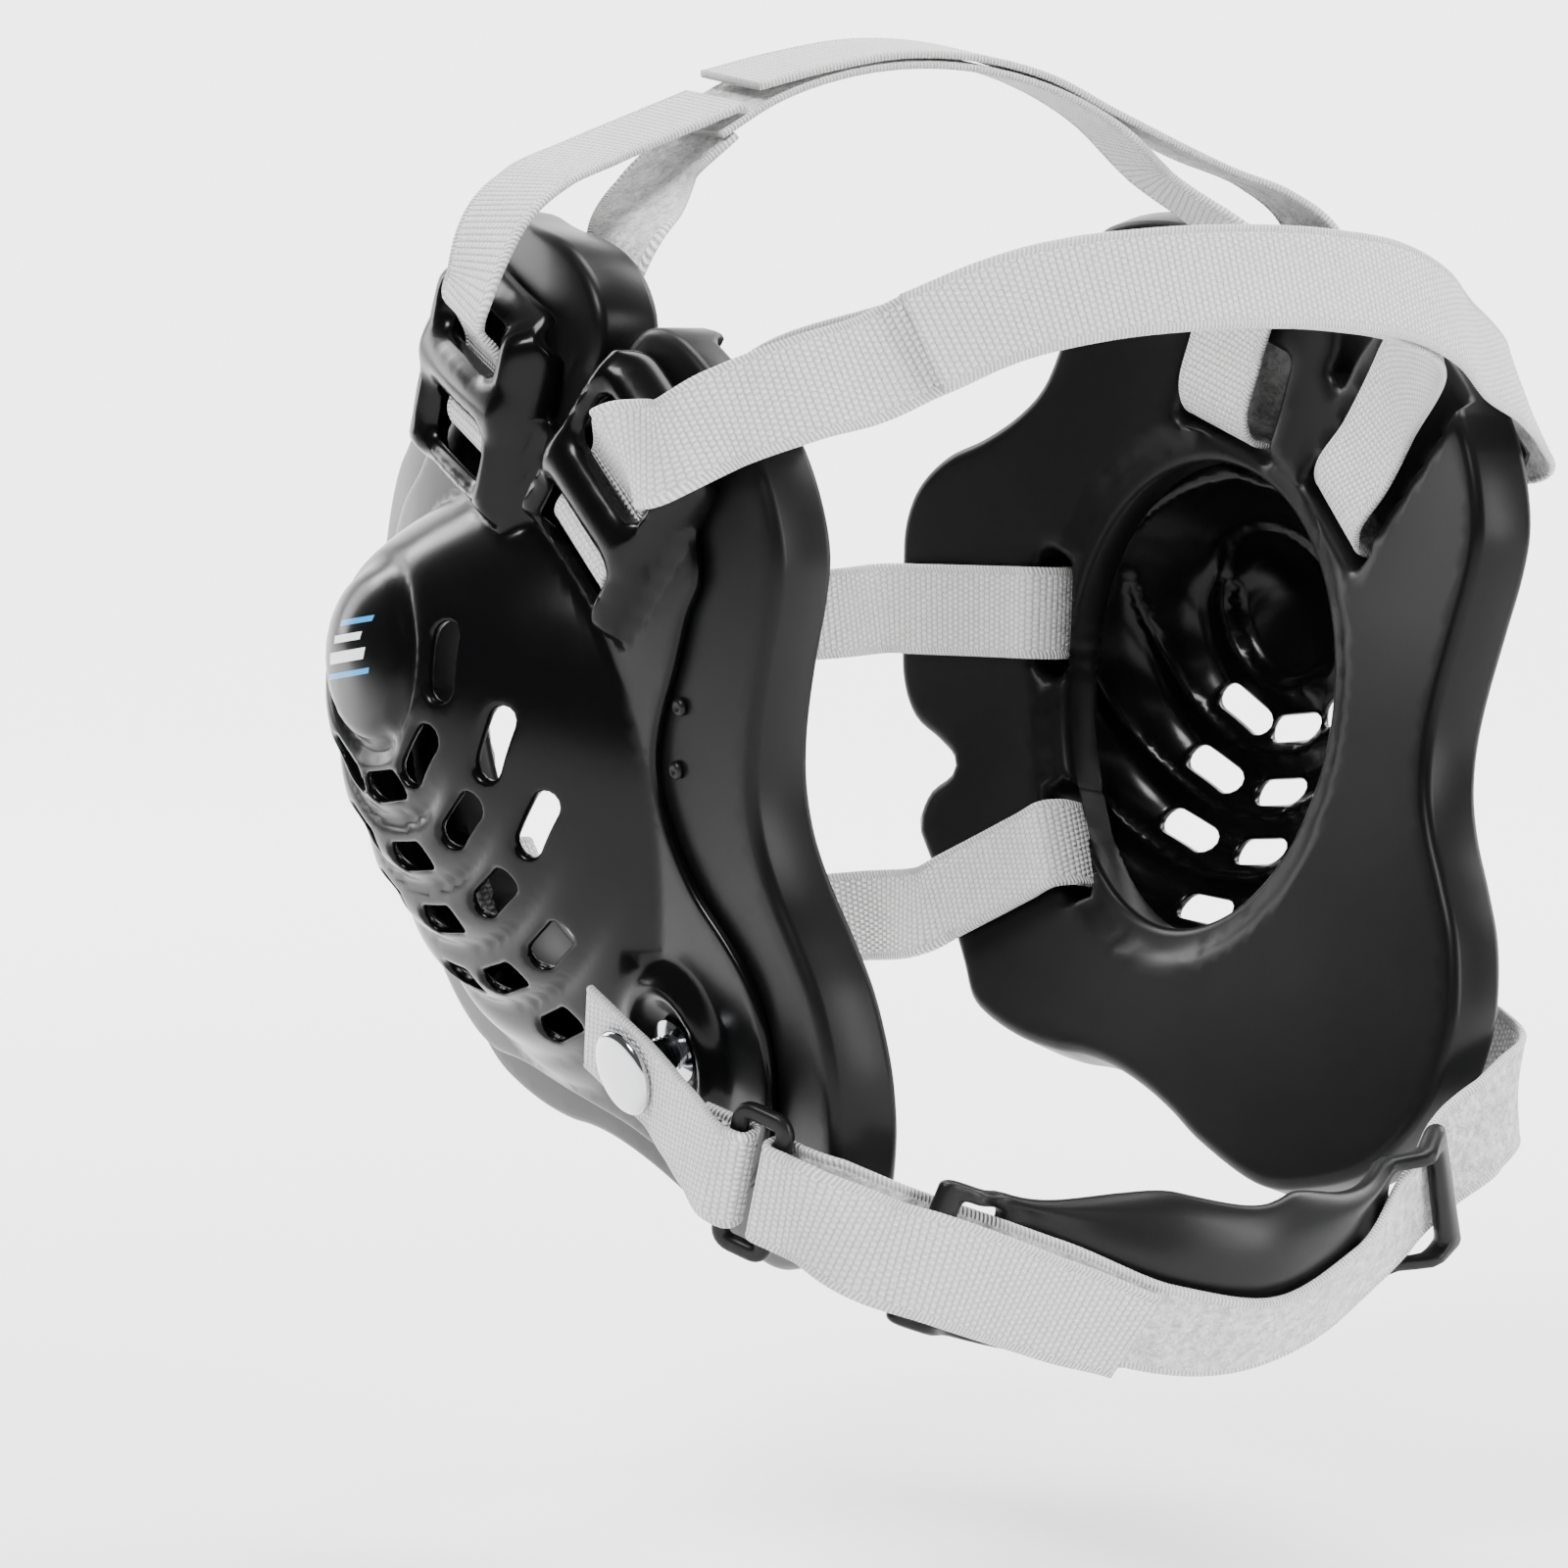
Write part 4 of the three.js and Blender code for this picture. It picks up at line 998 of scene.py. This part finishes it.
def back_strap(anchor, back_up):
    middle, degrees = anchor
    turn = math.radians(degrees)
    seat = FOAM - (WEB_THICKNESS + 3 * SEAT_GAP) / 2
    rows = [(15, seat), (7, seat), (3.4, seat), (0.6, FOAM * 0.72), (0, FOAM * 0.4), (0.6, FOAM * 0.08),
            (3.2, INNER_RUN), (9, INNER_RUN), (19, INNER_RUN), (29, INNER_RUN), (37, INNER_RUN)]
    wide = (math.sin(-turn), math.cos(-turn))

    def half(side):
        return [guard_station(side, turned_point(middle, along, 0, turn), out, wide) for along, out in rows]

    leave = half(1)[-1][0]
    arc = []
    for degrees_round in (-66, -44, -22, 0, 22, 44, 66):
        around = math.radians(degrees_round)
        x = leave.x * 1.02 * math.sin(around)
        y = leave.y + (NAPE_REACH - leave.y) * math.cos(around)
        arc.append(head_station(1, x, y, leave.z + (back_up - leave.z) * math.cos(around), (0, 0, 1)))
    return [*half(-1), *arc, *reversed(half(1))]


UNDER = WEB_THICKNESS / 2 + SEAT_GAP
SOCKET_HEIGHT = 3.0
STUD_HEIGHT = 5.2
STUD_FOOT = SHELL_SEAT + SHELL_WALL + SEAT_GAP * 1.5
SNAP_OUT = STUD_FOOT + STUD_HEIGHT + SEAT_GAP + SOCKET_HEIGHT + UNDER
SNAP_FOOT = on_guard(*SNAP_MIDDLE, 0)
SNAP_WAY = face_normal(*SNAP_MIDDLE)

# Under the chin, from the ring to the left snap: aside, back, up, and how the width lies
CHIN_STATIONS = [
    (-82.6, -71.5, -67, (-0.3, 0.25, 0.92)), (-76.75, -83.5, -71.5, (-0.2, 0.2, 0.95)),
    (-69.4, -91, -76, (-0.1, 0.1, 0.96)), (-56, -95, -81.5, (-0.05, 0, 0.98)),
    (-42, -100, -87, (-0.05, -0.2, 0.95)), (-22.4, -106, -95, (0, -0.5, 0.85)),
    (0, -108, -98.5, (0, -0.62, 0.79)), (22.4, -106, -92.5, (0, -0.5, 0.85)),
    (42, -100, -82, (0.05, -0.2, 0.95)), (56, -95, -74.5, (0.05, 0, 0.98)),
    (69.4, -92.5, -69, (0.15, 0.1, 0.95)), (81.8, -86, -64, (0.25, 0.2, 0.93)),
    (87.35, -72, -60, (0.28, 0.1, 0.92)),
]
CHIN_ROUTE = [(Vector((x, y, z)), Vector(wide).normalized()) for x, y, z, wide in CHIN_STATIONS]


def chin_frame(index):
    return path_frame(CHIN_ROUTE, index / (len(CHIN_ROUTE) - 1))


def offset(place, along, out, up=0.0):
    at, run, across, face = place
    return (at + run * along + face * out + across * up, across.copy())


FOLD_HALF = RING_WIRE * 0.4 + WEB_THICKNESS / 2 + SEAT_GAP
BAR_SIDE = RING_GAP / 2 - WEB_THICKNESS / 2 - SEAT_GAP
CHIN_START = chin_frame(0)
RING_FRAME = (offset(CHIN_START, 0, FOLD_HALF)[0], *CHIN_START[1:])
FOLD_ROWS = [(13, FOLD_HALF), (7, FOLD_HALF), (BAR_SIDE + 0.8, FOLD_HALF * 0.93), (BAR_SIDE, 0),
             (BAR_SIDE + 0.8, -FOLD_HALF * 0.93), (7, -FOLD_HALF)]


def folded(way):
    """The webbing's turn round one bar of the ring, on the side that way gives."""
    return [offset(RING_FRAME, way * along, out) for along, out in FOLD_ROWS]


def snap_frame(side, towards):
    at = mirror(SNAP_FOOT + SNAP_WAY * SNAP_OUT, side)
    face = mirror(SNAP_WAY, side)
    run = towards - at
    run = (run - face * run.dot(face)).normalized()
    return (at, run, face.cross(run), face)


def chin_strap():
    bar = WEB_THICKNESS + CUP_WALL + 2 * RUN_GAP
    outer = [offset(chin_frame(4.85), 0, LAYER_STEP, -1.5), offset(chin_frame(4.1), 0, LAYER_STEP + 1, -2),
             offset(frame_at(CUP_SHIFT - CUP_HALF_WIDTH), 0, bar, -2.5),
             offset(chin_frame(1.9), 0, LAYER_STEP + 2, -2.5)]
    end = snap_frame(1, CHIN_ROUTE[-1][0])
    flip = -1 if end[2].dot(CHIN_ROUTE[0][1]) < 0 else 1
    snap_end = [(offset(end, along, 0)[0], end[2] * flip) for along in (18, 9, 0, -9)]
    return [*outer, *folded(1), *CHIN_ROUTE[1:], *snap_end]


def snap_tab():
    start = snap_frame(-1, RING_FRAME[0])
    flip = -1 if start[2].dot(RING_FRAME[2]) < 0 else 1
    wide = start[2] * flip
    head = [(offset(start, along, 0)[0], wide) for along in (-14, -7, 0, 5)]
    near_ring, ring_wide = folded(-1)[1]
    leave = head[-1][0]
    twist = [(leave.lerp(near_ring, share), wide.lerp(ring_wide, share)) for share in (0.33, 0.67)]
    return [*head, *twist, *folded(-1)[1:], offset(RING_FRAME, -13, -FOLD_HALF * 0.9)]


def strap_section():
    """Round the webbing: side share and half height. The edges carry a rib."""
    rib = sizes().selvedge
    shares = [(1, 0.0), (0.992, 0.6), (0.965, 0.93), (0.93, 1.0), (rib + 0.015, 0.93), (rib - 0.005, 0.74),
              (rib - 0.03, 0.9), (rib - 0.1, 0.94), (0.5, 0.95), (0.2, 0.95)]
    upper = [(-share, height) for share, height in shares] + shares[::-1]
    return upper + [(share, -height) for share, height in upper[::-1]][1:-1]


def strap_piece(name, stations, loop_face, node):
    """Sweeps the webbing along its stations. loop_face is the face, 1 or -1, that carries the loop pile."""
    ring = strap_section()
    size = len(ring)
    rib = sizes().selvedge
    count = (len(stations) - 1) * STRAP_STEPS
    vertices, lengths = [], []
    length, before = 0.0, None
    for i in range(count + 1):
        at, _, across, face = path_frame(stations, i / count)
        length += (at - before).length if before else 0.0
        before = at
        lengths.append(length)
        vertices += [at + across * (share * WEBBING / 2) + face * (height * WEB_THICKNESS / 2)
                     for share, height in ring]
    faces, uvs, slots = [], [], []
    for i in range(count):
        for k in range(size):
            after = (k + 1) % size
            faces.append((i * size + k, i * size + after, (i + 1) * size + after, (i + 1) * size + k))
            left, right = ring[k][0] * WEBBING / 2, ring[after][0] * WEBBING / 2
            start, end = lengths[i], lengths[i + 1]
            uvs.append([(left, start), (right, start), (right, end), (left, end)])
            middle = abs(ring[k][0] + ring[after][0]) / 2
            loop = (ring[k][1] + ring[after][1]) * loop_face > 0
            slots.append(1 if middle > rib - 0.02 else (2 if loop else 0))
    for first, order in ((0, -1), (count * size, 1)):
        faces.append(tuple(range(first, first + size))[::order])
        uvs.append([(0.0, 0.0)] * size)
        slots.append(0)
    piece = new_piece(name, (vertices, faces), 1, node, "webbing", "weave", "selvedge", "loop")
    layer = piece.data.uv_layers.new(name="Weave")
    for polygon, corners, slot in zip(piece.data.polygons, uvs, slots):
        polygon.material_index = slot
        for loop_index, corner in zip(polygon.loop_indices, corners):
            layer.data[loop_index].uv = corner
    outward(piece)


def outward(piece):
    """Turns all the faces outwards."""
    shape = bmesh.new()
    shape.from_mesh(piece.data)
    bmesh.ops.recalc_face_normals(shape, faces=shape.faces)
    shape.to_mesh(piece.data)
    shape.free()


# Turned pieces
def turned(profile, sides, way, foot):
    """A closed body turned about an axis, from pairs of radius and height that start and end on the axis."""
    turn = Vector((0, 0, 1)).rotation_difference(way).to_matrix()
    inner = profile[1:-1]
    vertices = [foot + turn @ Vector((0, 0, profile[0][1])), foot + turn @ Vector((0, 0, profile[-1][1]))]
    for radius, height in inner:
        for k in range(sides):
            angle = 2 * math.pi * k / sides
            spot = Vector((radius * math.cos(angle), radius * math.sin(angle), height))
            vertices.append(foot + turn @ spot)
    faces = []
    rows = len(inner)
    for k in range(sides):
        after = (k + 1) % sides
        faces.append((0, 2 + after, 2 + k))
        faces.append((1, 2 + (rows - 1) * sides + k, 2 + (rows - 1) * sides + after))
        for row in range(rows - 1):
            low, high = 2 + row * sides, 2 + (row + 1) * sides
            faces.append((low + k, low + after, high + after, high + k))
    return vertices, faces


def smooth_by_angle(piece, degrees):
    bpy.ops.object.select_all(action="DESELECT")
    piece.select_set(True)
    bpy.context.view_layer.objects.active = piece
    bpy.ops.object.shade_smooth_by_angle(angle=math.radians(degrees))
    piece.select_set(False)


# Snap cap: its rolled edge, its crown and its socket. Stud: its foot and the turns of its thread.
CAP_ROLL = 0.9
CAP_CROWN = 0.85
CAP_HEIGHT = 2.6
POST_RADIUS = 2
THREAD_FOOT = 1.5
THREAD_PITCH = 0.85
THREAD_TURNS = 4
THREAD = [(3.0, 0), (3.45, 0.25), (3.45, 0.5), (3.0, 0.75)]
RIVET_PROFILE = [(0, 0), (1.65, 0), (1.7, 0.3), (1.45, 0.8), (0.9, 1.05), (0.45, 0.75), (0, 0.7)]
RIVETS = {"upper": (-0.336, 0.088), "lower": (-0.318, 0.028)}


def cap_profile(radius):
    roll = [(radius - CAP_ROLL + CAP_ROLL * math.cos(a), UNDER + CAP_ROLL + CAP_ROLL * math.sin(a))
            for a in (math.radians(d) for d in (-90, -60, -30, 0, 30, 60))]
    foot = CAP_HEIGHT - CAP_CROWN
    crown = [(radius * share, UNDER + foot + CAP_CROWN * (1 - share ** 2))
             for share in (0.86, 0.7, 0.5, 0.3, 0.12)]
    low = -UNDER - SOCKET_HEIGHT
    socket = [(0, low), (4.6, low), (5.3, low + 0.5), (5.5, -UNDER - 0.4), (5.2, -UNDER)]
    return [*socket, (POST_RADIUS, -UNDER), (POST_RADIUS, UNDER), *roll, *crown, (0, UNDER + CAP_HEIGHT)]


def stud_profile():
    base = [(0, 0), (5.6, 0), (6, 0.3), (5.9, 0.8), (4.2, 1.3)]
    thread = [(radius, THREAD_FOOT + turn * THREAD_PITCH + height)
              for turn in range(THREAD_TURNS) for radius, height in THREAD]
    return [*base, *thread, (2.9, STUD_HEIGHT - 0.2), (2.3, STUD_HEIGHT), (0, STUD_HEIGHT)]


RING_CORNER = 2.6
RING_SIDES = 14


def ring_body():
    """The ring: a rounded frame swept round its opening."""
    half_across = WEBBING / 2 + 2 + RING_WIRE / 2
    half_along = RING_GAP / 2 + RING_WIRE / 2
    corners = [(-half_along, -half_across), (half_along, -half_across), (half_along, half_across),
               (-half_along, half_across)]
    path = rounded(corners, RING_CORNER, 1.0)
    path = [path[i] for i in range(len(path)) if np.linalg.norm(path[i] - path[i - 1]) > 0.05]
    sides = RING_SIDES
    at, run, across, face = RING_FRAME
    vertices, faces = [], []
    for i, point in enumerate(path):
        way = path[(i + 1) % len(path)] - path[i - 1]
        way = way / np.linalg.norm(way)
        aside = (way[1], -way[0])
        for k in range(sides):
            angle = 2 * math.pi * k / sides
            flat = abs(math.cos(angle)) ** 0.7 * math.copysign(1, math.cos(angle)) * RING_WIRE * 0.5
            high = abs(math.sin(angle)) ** 0.7 * math.copysign(1, math.sin(angle)) * RING_WIRE * 0.4
            a, b = point[0] + aside[0] * flat, point[1] + aside[1] * flat
            vertices.append(at + run * a + across * b + face * high)
    count = len(path)
    for i in range(count):
        for k in range(sides):
            j, after = (i + 1) % count, (k + 1) % sides
            faces.append((i * sides + k, j * sides + k, j * sides + after, i * sides + after))
    return vertices, faces


# Chin cup: lies behind the webbing, bends back above and below, and ends in a bar in front of the webbing
CUP_BAR_WIDTH = 4.0
CUP_SLOT = 10.0
CUP_FLAT = WEBBING / 2 + 1
CUP_WING = {"up": 10.5, "low": 5.0, "bend": 8.5, "end": 3.0}
CUP_TALL = CUP_FLAT + CUP_WING["end"]
CUP_SLOT_HALF = 0.52 * CUP_TALL
CUP_BEAD = 2.1


def frame_at(x):
    low, high = 0.0, 1.0
    for _ in range(24):
        middle = (low + high) / 2
        if path_frame(CHIN_ROUTE, middle)[0].x < x:
            low = middle
        else:
            high = middle
    return path_frame(CHIN_ROUTE, low)


def box_corners(left, right, half):
    return [(left, -half), (right, -half), (right, half), (left, half)]


def cup_loops():
    end = CUP_HALF_WIDTH + CUP_BAR_WIDTH / 2 + 0.7
    loops = [rounded(box_corners(-end, end, CUP_TALL), 3.2, 1.6)]
    for side in (-1, 1):
        edges = sorted([side * (CUP_HALF_WIDTH - CUP_SLOT), side * (CUP_HALF_WIDTH - CUP_BAR_WIDTH / 2)])
        loops.append(rounded(box_corners(*edges, CUP_SLOT_HALF), 1.4, LINE_STEP))
    return loops


def cup_half_thickness(distance):
    """Half the wall: a round bead at the rim that thins into the wall."""
    if distance < CUP_BEAD:
        return math.sqrt(max(0.0, CUP_BEAD ** 2 - (CUP_BEAD - distance) ** 2))
    return blend_values(CUP_BEAD, CUP_WALL / 2, smooth_step(CUP_BEAD, CUP_BEAD * 2.6, distance))


def cup_place(frames):
    def place(x, up, distance):
        frame_here = frames(x)
        h = up / CUP_TALL
        end = smooth_step(0.3, 0.8, abs(x) / CUP_HALF_WIDTH)
        step = smooth_step(CUP_HALF_WIDTH - CUP_SLOT, CUP_HALF_WIDTH - CUP_BAR_WIDTH, abs(x))
        wing = max(0.0, 2 * abs(h) - 1)
        reach = blend_values(CUP_WING["up"] if h > 0 else CUP_WING["low"], CUP_WING["end"], end)
        rise = math.copysign(min(1.0, 2 * abs(h)) * CUP_FLAT + wing * reach, h)
        clear = WEB_THICKNESS / 2 + RUN_GAP
        behind = -clear - CUP_WALL - CUP_WING["bend"] * (1 - end) * wing ** 1.4
        middle = blend_values(behind, clear, step) + CUP_WALL / 2
        half = cup_half_thickness(distance)
        return (offset(frame_here, 0, middle + half, rise)[0], offset(frame_here, 0, middle - half, rise)[0])
    return place


CUP_EDGE = 1.6
CUP_SPACING = 1.7
CUP_EASE = 13


def cup_frames():
    """Frames of the strap's curve, looked up by x, with their turns evened out along the curve."""
    spots = [CUP_SHIFT + 4 * step for step in range(-20, 21)]
    raw = [frame_at(spot) for spot in spots]
    known = {}

    def look_up(x):
        key = round(x, 1)
        if key not in known:
            weights = [math.exp(-((key + CUP_SHIFT - spot) / CUP_EASE) ** 2) for spot in spots]
            run, across = (sum((frame_here[part] * w for frame_here, w in zip(raw, weights)), Vector())
                           for part in (1, 2))
            run.normalize()
            across = (across - run * across.dot(run)).normalized()
            known[key] = (frame_at(key + CUP_SHIFT)[0], run, across, run.cross(across))
        return known[key]
    return look_up


# Operators
SIDES = (("left", 1), ("right", -1))


class MakePads(bpy.types.Operator):
    """Builds the two foam pads with their ear holes, strap slots and seats."""
    bl_idname = "guard.make_pads"
    bl_label = "Foam pads"

    def execute(self, context):
        body = thick_plate(flat_plate(pad_loops(), sizes().foam_edge, FOAM_SPACING), pad_place)
        for name, side in SIDES:
            pad = new_piece(f"foam_pad_{name}", body, side, f"pad_{name}", "foam", "foam")
            smooth_by_angle(pad, 50)
        return {"FINISHED"}


class MakeShells(bpy.types.Operator):
    """Builds the two moulded shells: dome, terraces, slots, flange, strap loops and snap bowl."""
    bl_idname = "guard.make_shells"
    bl_label = "Moulded shells"

    def execute(self, context):
        flat = flat_plate(shell_loops(), sizes().shell_edge, SHELL_SPACING)
        body = thick_plate(flat, shell_place)
        plane = [(PRINT_MIDDLE[0] - y, z - PRINT_MIDDLE[1]) for y, z in flat[0]]
        plane += [OFF_PRINT] * len(plane)
        for name, side in SIDES:
            shell = new_piece(f"moulded_shell_{name}", body, side, f"shell_{name}", "shell_plastic", "shell")
            layer = shell.data.uv_layers.new(name="Print")
            for loop in shell.data.loops:
                layer.data[loop.index].uv = plane[loop.vertex_index]
        return {"FINISHED"}


class MakeFasteners(bpy.types.Operator):
    """Builds the rivets and the snap caps with their studs."""
    bl_idname = "guard.make_fasteners"
    bl_label = "Rivets and snaps"

    def execute(self, context):
        snaps = [("snap_disc", "snap_cap", cap_profile(sizes().cap_radius), 64, SNAP_OUT),
                 ("snap_post", "snap_stud", stud_profile(), 40, STUD_FOOT)]
        for name, side in SIDES:
            for spot, share in RIVETS.items():
                middle = shared(share)
                foot = on_guard(*middle, FOAM + SEAT_GAP * 0.75)
                body = turned(RIVET_PROFILE, 24, face_normal(*middle), foot)
                new_piece(f"rivet_head_{spot}_{name}", body, side, f"rivet_{spot}_{name}",
                          "shell_plastic", "cup")
            for piece, node, profile, sides, out in snaps:
                body = turned(profile, sides, SNAP_WAY, SNAP_FOOT + SNAP_WAY * out)
                snap = new_piece(f"{piece}_{name}", body, side, f"{node}_{name}", "snap_metal", "metal")
                smooth_by_angle(snap, 40)
        return {"FINISHED"}


class MakeWebbing(bpy.types.Operator):
    """Builds all the lengths of webbing over, round and under the head."""
    bl_idname = "guard.make_webbing"
    bl_label = "Webbing"

    def execute(self, context):
        rows = [
            ("crown_webbing_left", top_strap(1, -44, 0, -34, 2), 1, "top_strap_left"),
            ("crown_webbing_right", top_strap(-1, 42, -1, 37, 0), -1, "top_strap_right"),
            ("brow_webbing_left", front_strap(1, -10, -46, 2), 1, "front_strap_left"),
            ("brow_webbing_right", front_strap(-1, 12, -6, 1), -1, "front_strap_right"),
            ("nape_webbing_upper", back_strap(BACK_ANCHORS["upper"], 17), 0, "back_strap_upper"),
            ("nape_webbing_lower", back_strap(BACK_ANCHORS["lower"], -48), 0, "back_strap_lower"),
            ("chin_webbing", chin_strap(), 1, "chin_strap"),
            ("snap_webbing", snap_tab(), 0, "snap_tab"),
        ]
        for row in rows:
            strap_piece(*row)
        return {"FINISHED"}


class MakeChinCup(bpy.types.Operator):
    """Builds the chin cup and the ring of the chin strap."""
    bl_idname = "guard.make_chin_cup"
    bl_label = "Chin cup and ring"

    def execute(self, context):
        cup = thick_plate(flat_plate(cup_loops(), CUP_EDGE, CUP_SPACING), cup_place(cup_frames()))
        outward(new_piece("moulded_chin_cup", cup, 1, "chin_cup", "cup_plastic", "cup"))
        outward(new_piece("moulded_ring", ring_body(), 1, "strap_ring", "cup_plastic", "cup"))
        return {"FINISHED"}


# Stage, in metres. The camera's frame is given in pixels: its side, its focal length and its centre.
FRAME_SIDE = 1600
FOCAL_LENGTH = 5459.84
FRAME_CENTRE = (918.67, 757.95)
SENSOR = 36
CAMERA_DISTANCE = 1.0327
FLOOR_HALF = 3.5
FLOOR_NEAR = 3.0
SWEEP_START = -1.8
SWEEP_RADIUS = 0.9
WALL_TOP = (-2.7, 3.6)
GUARD_MIDDLE = Vector((0, 0, -CROWN_UP * MM))
WORLD_STRENGTH = 0.13

# Lamps: aside, nearer and higher than the guard, sides of the panel, and power in watts
LAMPS = {
    "key": (-0.5, 0.9, 1.0, (0.45, 0.35), 24),
    "fill": (1.2, 0.7, 0.3, (0.22, 0.9), 17),
    "top": (0.1, -0.1, 1.3, (0.8, 0.4), 22),
    "rear_left": (-1.1, -0.7, 0.5, (0.35, 1.0), 10),
    "rear_right": (1.2, -0.6, 0.4, (0.35, 1.0), 10),
    "sweep_left": (-1.2, -1.2, 1.5, (1.2, 1.2), 100),
    "sweep_right": (1.2, -1.2, 1.5, (1.2, 1.2), 100),
}


def camera_axes():
    """Back, right and up of the camera that sees the guard at the photograph's angle."""
    back = Vector((-0.5888, -0.8039, 0.0842)).normalized()
    right = Vector((0.8067, -0.5909, 0)).normalized()
    return back, right, back.cross(right)


def level(vector):
    return Vector((vector.x, vector.y, 0)).normalized()


def add_floor(scene, back, right):
    floor = CAD_BOX[0][2] - scene.guard_stage.floor_drop
    curve = [(SWEEP_START - SWEEP_RADIUS * math.sin(a), SWEEP_RADIUS - SWEEP_RADIUS * math.cos(a))
             for a in (math.radians(9 * k) for k in range(11))]
    profile = [(FLOOR_NEAR, 0.0), *curve, WALL_TOP]
    vertices = [back * depth + right * side + Vector((0, 0, floor + height))
                for depth, height in profile for side in (-FLOOR_HALF, FLOOR_HALF)]
    faces = [(2 * i, 2 * i + 1, 2 * i + 3, 2 * i + 2) for i in range(len(profile) - 1)]
    mesh = bpy.data.meshes.new("floor")
    mesh.from_pydata(vertices, [], faces)
    mesh.polygons.foreach_set("use_smooth", [True] * len(mesh.polygons))
    sweep = bpy.data.objects.new("floor", mesh)
    scene.collection.objects.link(sweep)
    dress(mesh, "paper")


def add_camera(scene, back, right, up):
    data = bpy.data.cameras.new("camera")
    camera = bpy.data.objects.new("camera", data)
    scene.collection.objects.link(camera)
    data.sensor_width = SENSOR
    data.lens = FOCAL_LENGTH / FRAME_SIDE * SENSOR
    data.shift_x = (FRAME_SIDE / 2 - FRAME_CENTRE[0]) / FRAME_SIDE
    data.shift_y = (FRAME_CENTRE[1] - FRAME_SIDE / 2) / FRAME_SIDE
    data.clip_start = 0.05
    data.clip_end = 20
    spot = GUARD_MIDDLE + back * CAMERA_DISTANCE
    camera.matrix_world = Matrix((*zip(right, up, back, spot), (0, 0, 0, 1)))
    scene.camera = camera


def add_lamp(name, spot, towards, size, power):
    bpy.ops.object.light_add(type="AREA", location=spot)
    lamp = bpy.context.object
    lamp.name = name
    lamp.data.shape = "RECTANGLE"
    lamp.data.size, lamp.data.size_y = size
    lamp.data.energy = power * bpy.context.scene.guard_stage.light
    lamp.rotation_euler = (towards - spot).to_track_quat("-Z", "Y").to_euler()


def add_lamps(back, right):
    """The sweep lamps light the paper behind the guard, and the others the guard itself."""
    for name, (aside, nearer, higher, size, power) in LAMPS.items():
        spot = GUARD_MIDDLE + right * aside + back * nearer + Vector((0, 0, higher))
        towards = GUARD_MIDDLE
        if name.startswith("sweep"):
            towards = GUARD_MIDDLE + right * aside * 0.3 - back * 2.6
        add_lamp(f"lamp_{name}", spot, towards, size, power)


def add_world(scene):
    world = bpy.data.worlds.new("studio")
    world.use_nodes = True
    background = world.node_tree.nodes["Background"]
    background.inputs["Color"].default_value = linear("#F2F4F6")
    background.inputs["Strength"].default_value = WORLD_STRENGTH
    scene.world = world


class MakeStage(bpy.types.Operator):
    """Builds the pale floor with its sweep, the lamps and the camera."""
    bl_idname = "guard.make_stage"
    bl_label = "Stage"

    def execute(self, context):
        back, right, up = camera_axes()
        add_floor(context.scene, level(back), level(right))
        add_camera(context.scene, back, right, up)
        add_lamps(level(back), level(right))
        add_world(context.scene)
        return {"FINISHED"}


class GuardPanel(bpy.types.Panel):
    """Lists the steps that build the ear guard."""
    bl_idname = "VIEW3D_PT_ear_guard"
    bl_label = "Ear guard"
    bl_space_type = "VIEW_3D"
    bl_region_type = "UI"
    bl_category = "Ear guard"

    def draw(self, context):
        for group in (context.scene.guard_sizes, context.scene.guard_colours, context.scene.guard_stage):
            for key in group.bl_rna.properties.keys():
                if key not in ("rna_type", "name"):
                    self.layout.prop(group, key)
        for operator in OPERATORS:
            self.layout.operator(operator.bl_idname)


GROUPS = (GuardSizes, GuardColours, StageSizes)
OPERATORS = (MakePads, MakeShells, MakeFasteners, MakeWebbing, MakeChinCup, MakeStage)


def register():
    for kind in (*GROUPS, *OPERATORS, GuardPanel):
        bpy.utils.register_class(kind)
    bpy.types.Scene.guard_sizes = bpy.props.PointerProperty(type=GuardSizes)
    bpy.types.Scene.guard_colours = bpy.props.PointerProperty(type=GuardColours)
    bpy.types.Scene.guard_stage = bpy.props.PointerProperty(type=StageSizes)


def unregister():
    for name in ("guard_sizes", "guard_colours", "guard_stage"):
        delattr(bpy.types.Scene, name)
    for kind in reversed((*GROUPS, *OPERATORS, GuardPanel)):
        bpy.utils.unregister_class(kind)


def main():
    register()
    bpy.ops.guard.make_stage()
    bpy.ops.guard.make_pads()
    bpy.ops.guard.make_shells()
    bpy.ops.guard.make_fasteners()
    bpy.ops.guard.make_webbing()
    bpy.ops.guard.make_chin_cup()


if __name__ == "__main__":
    main()
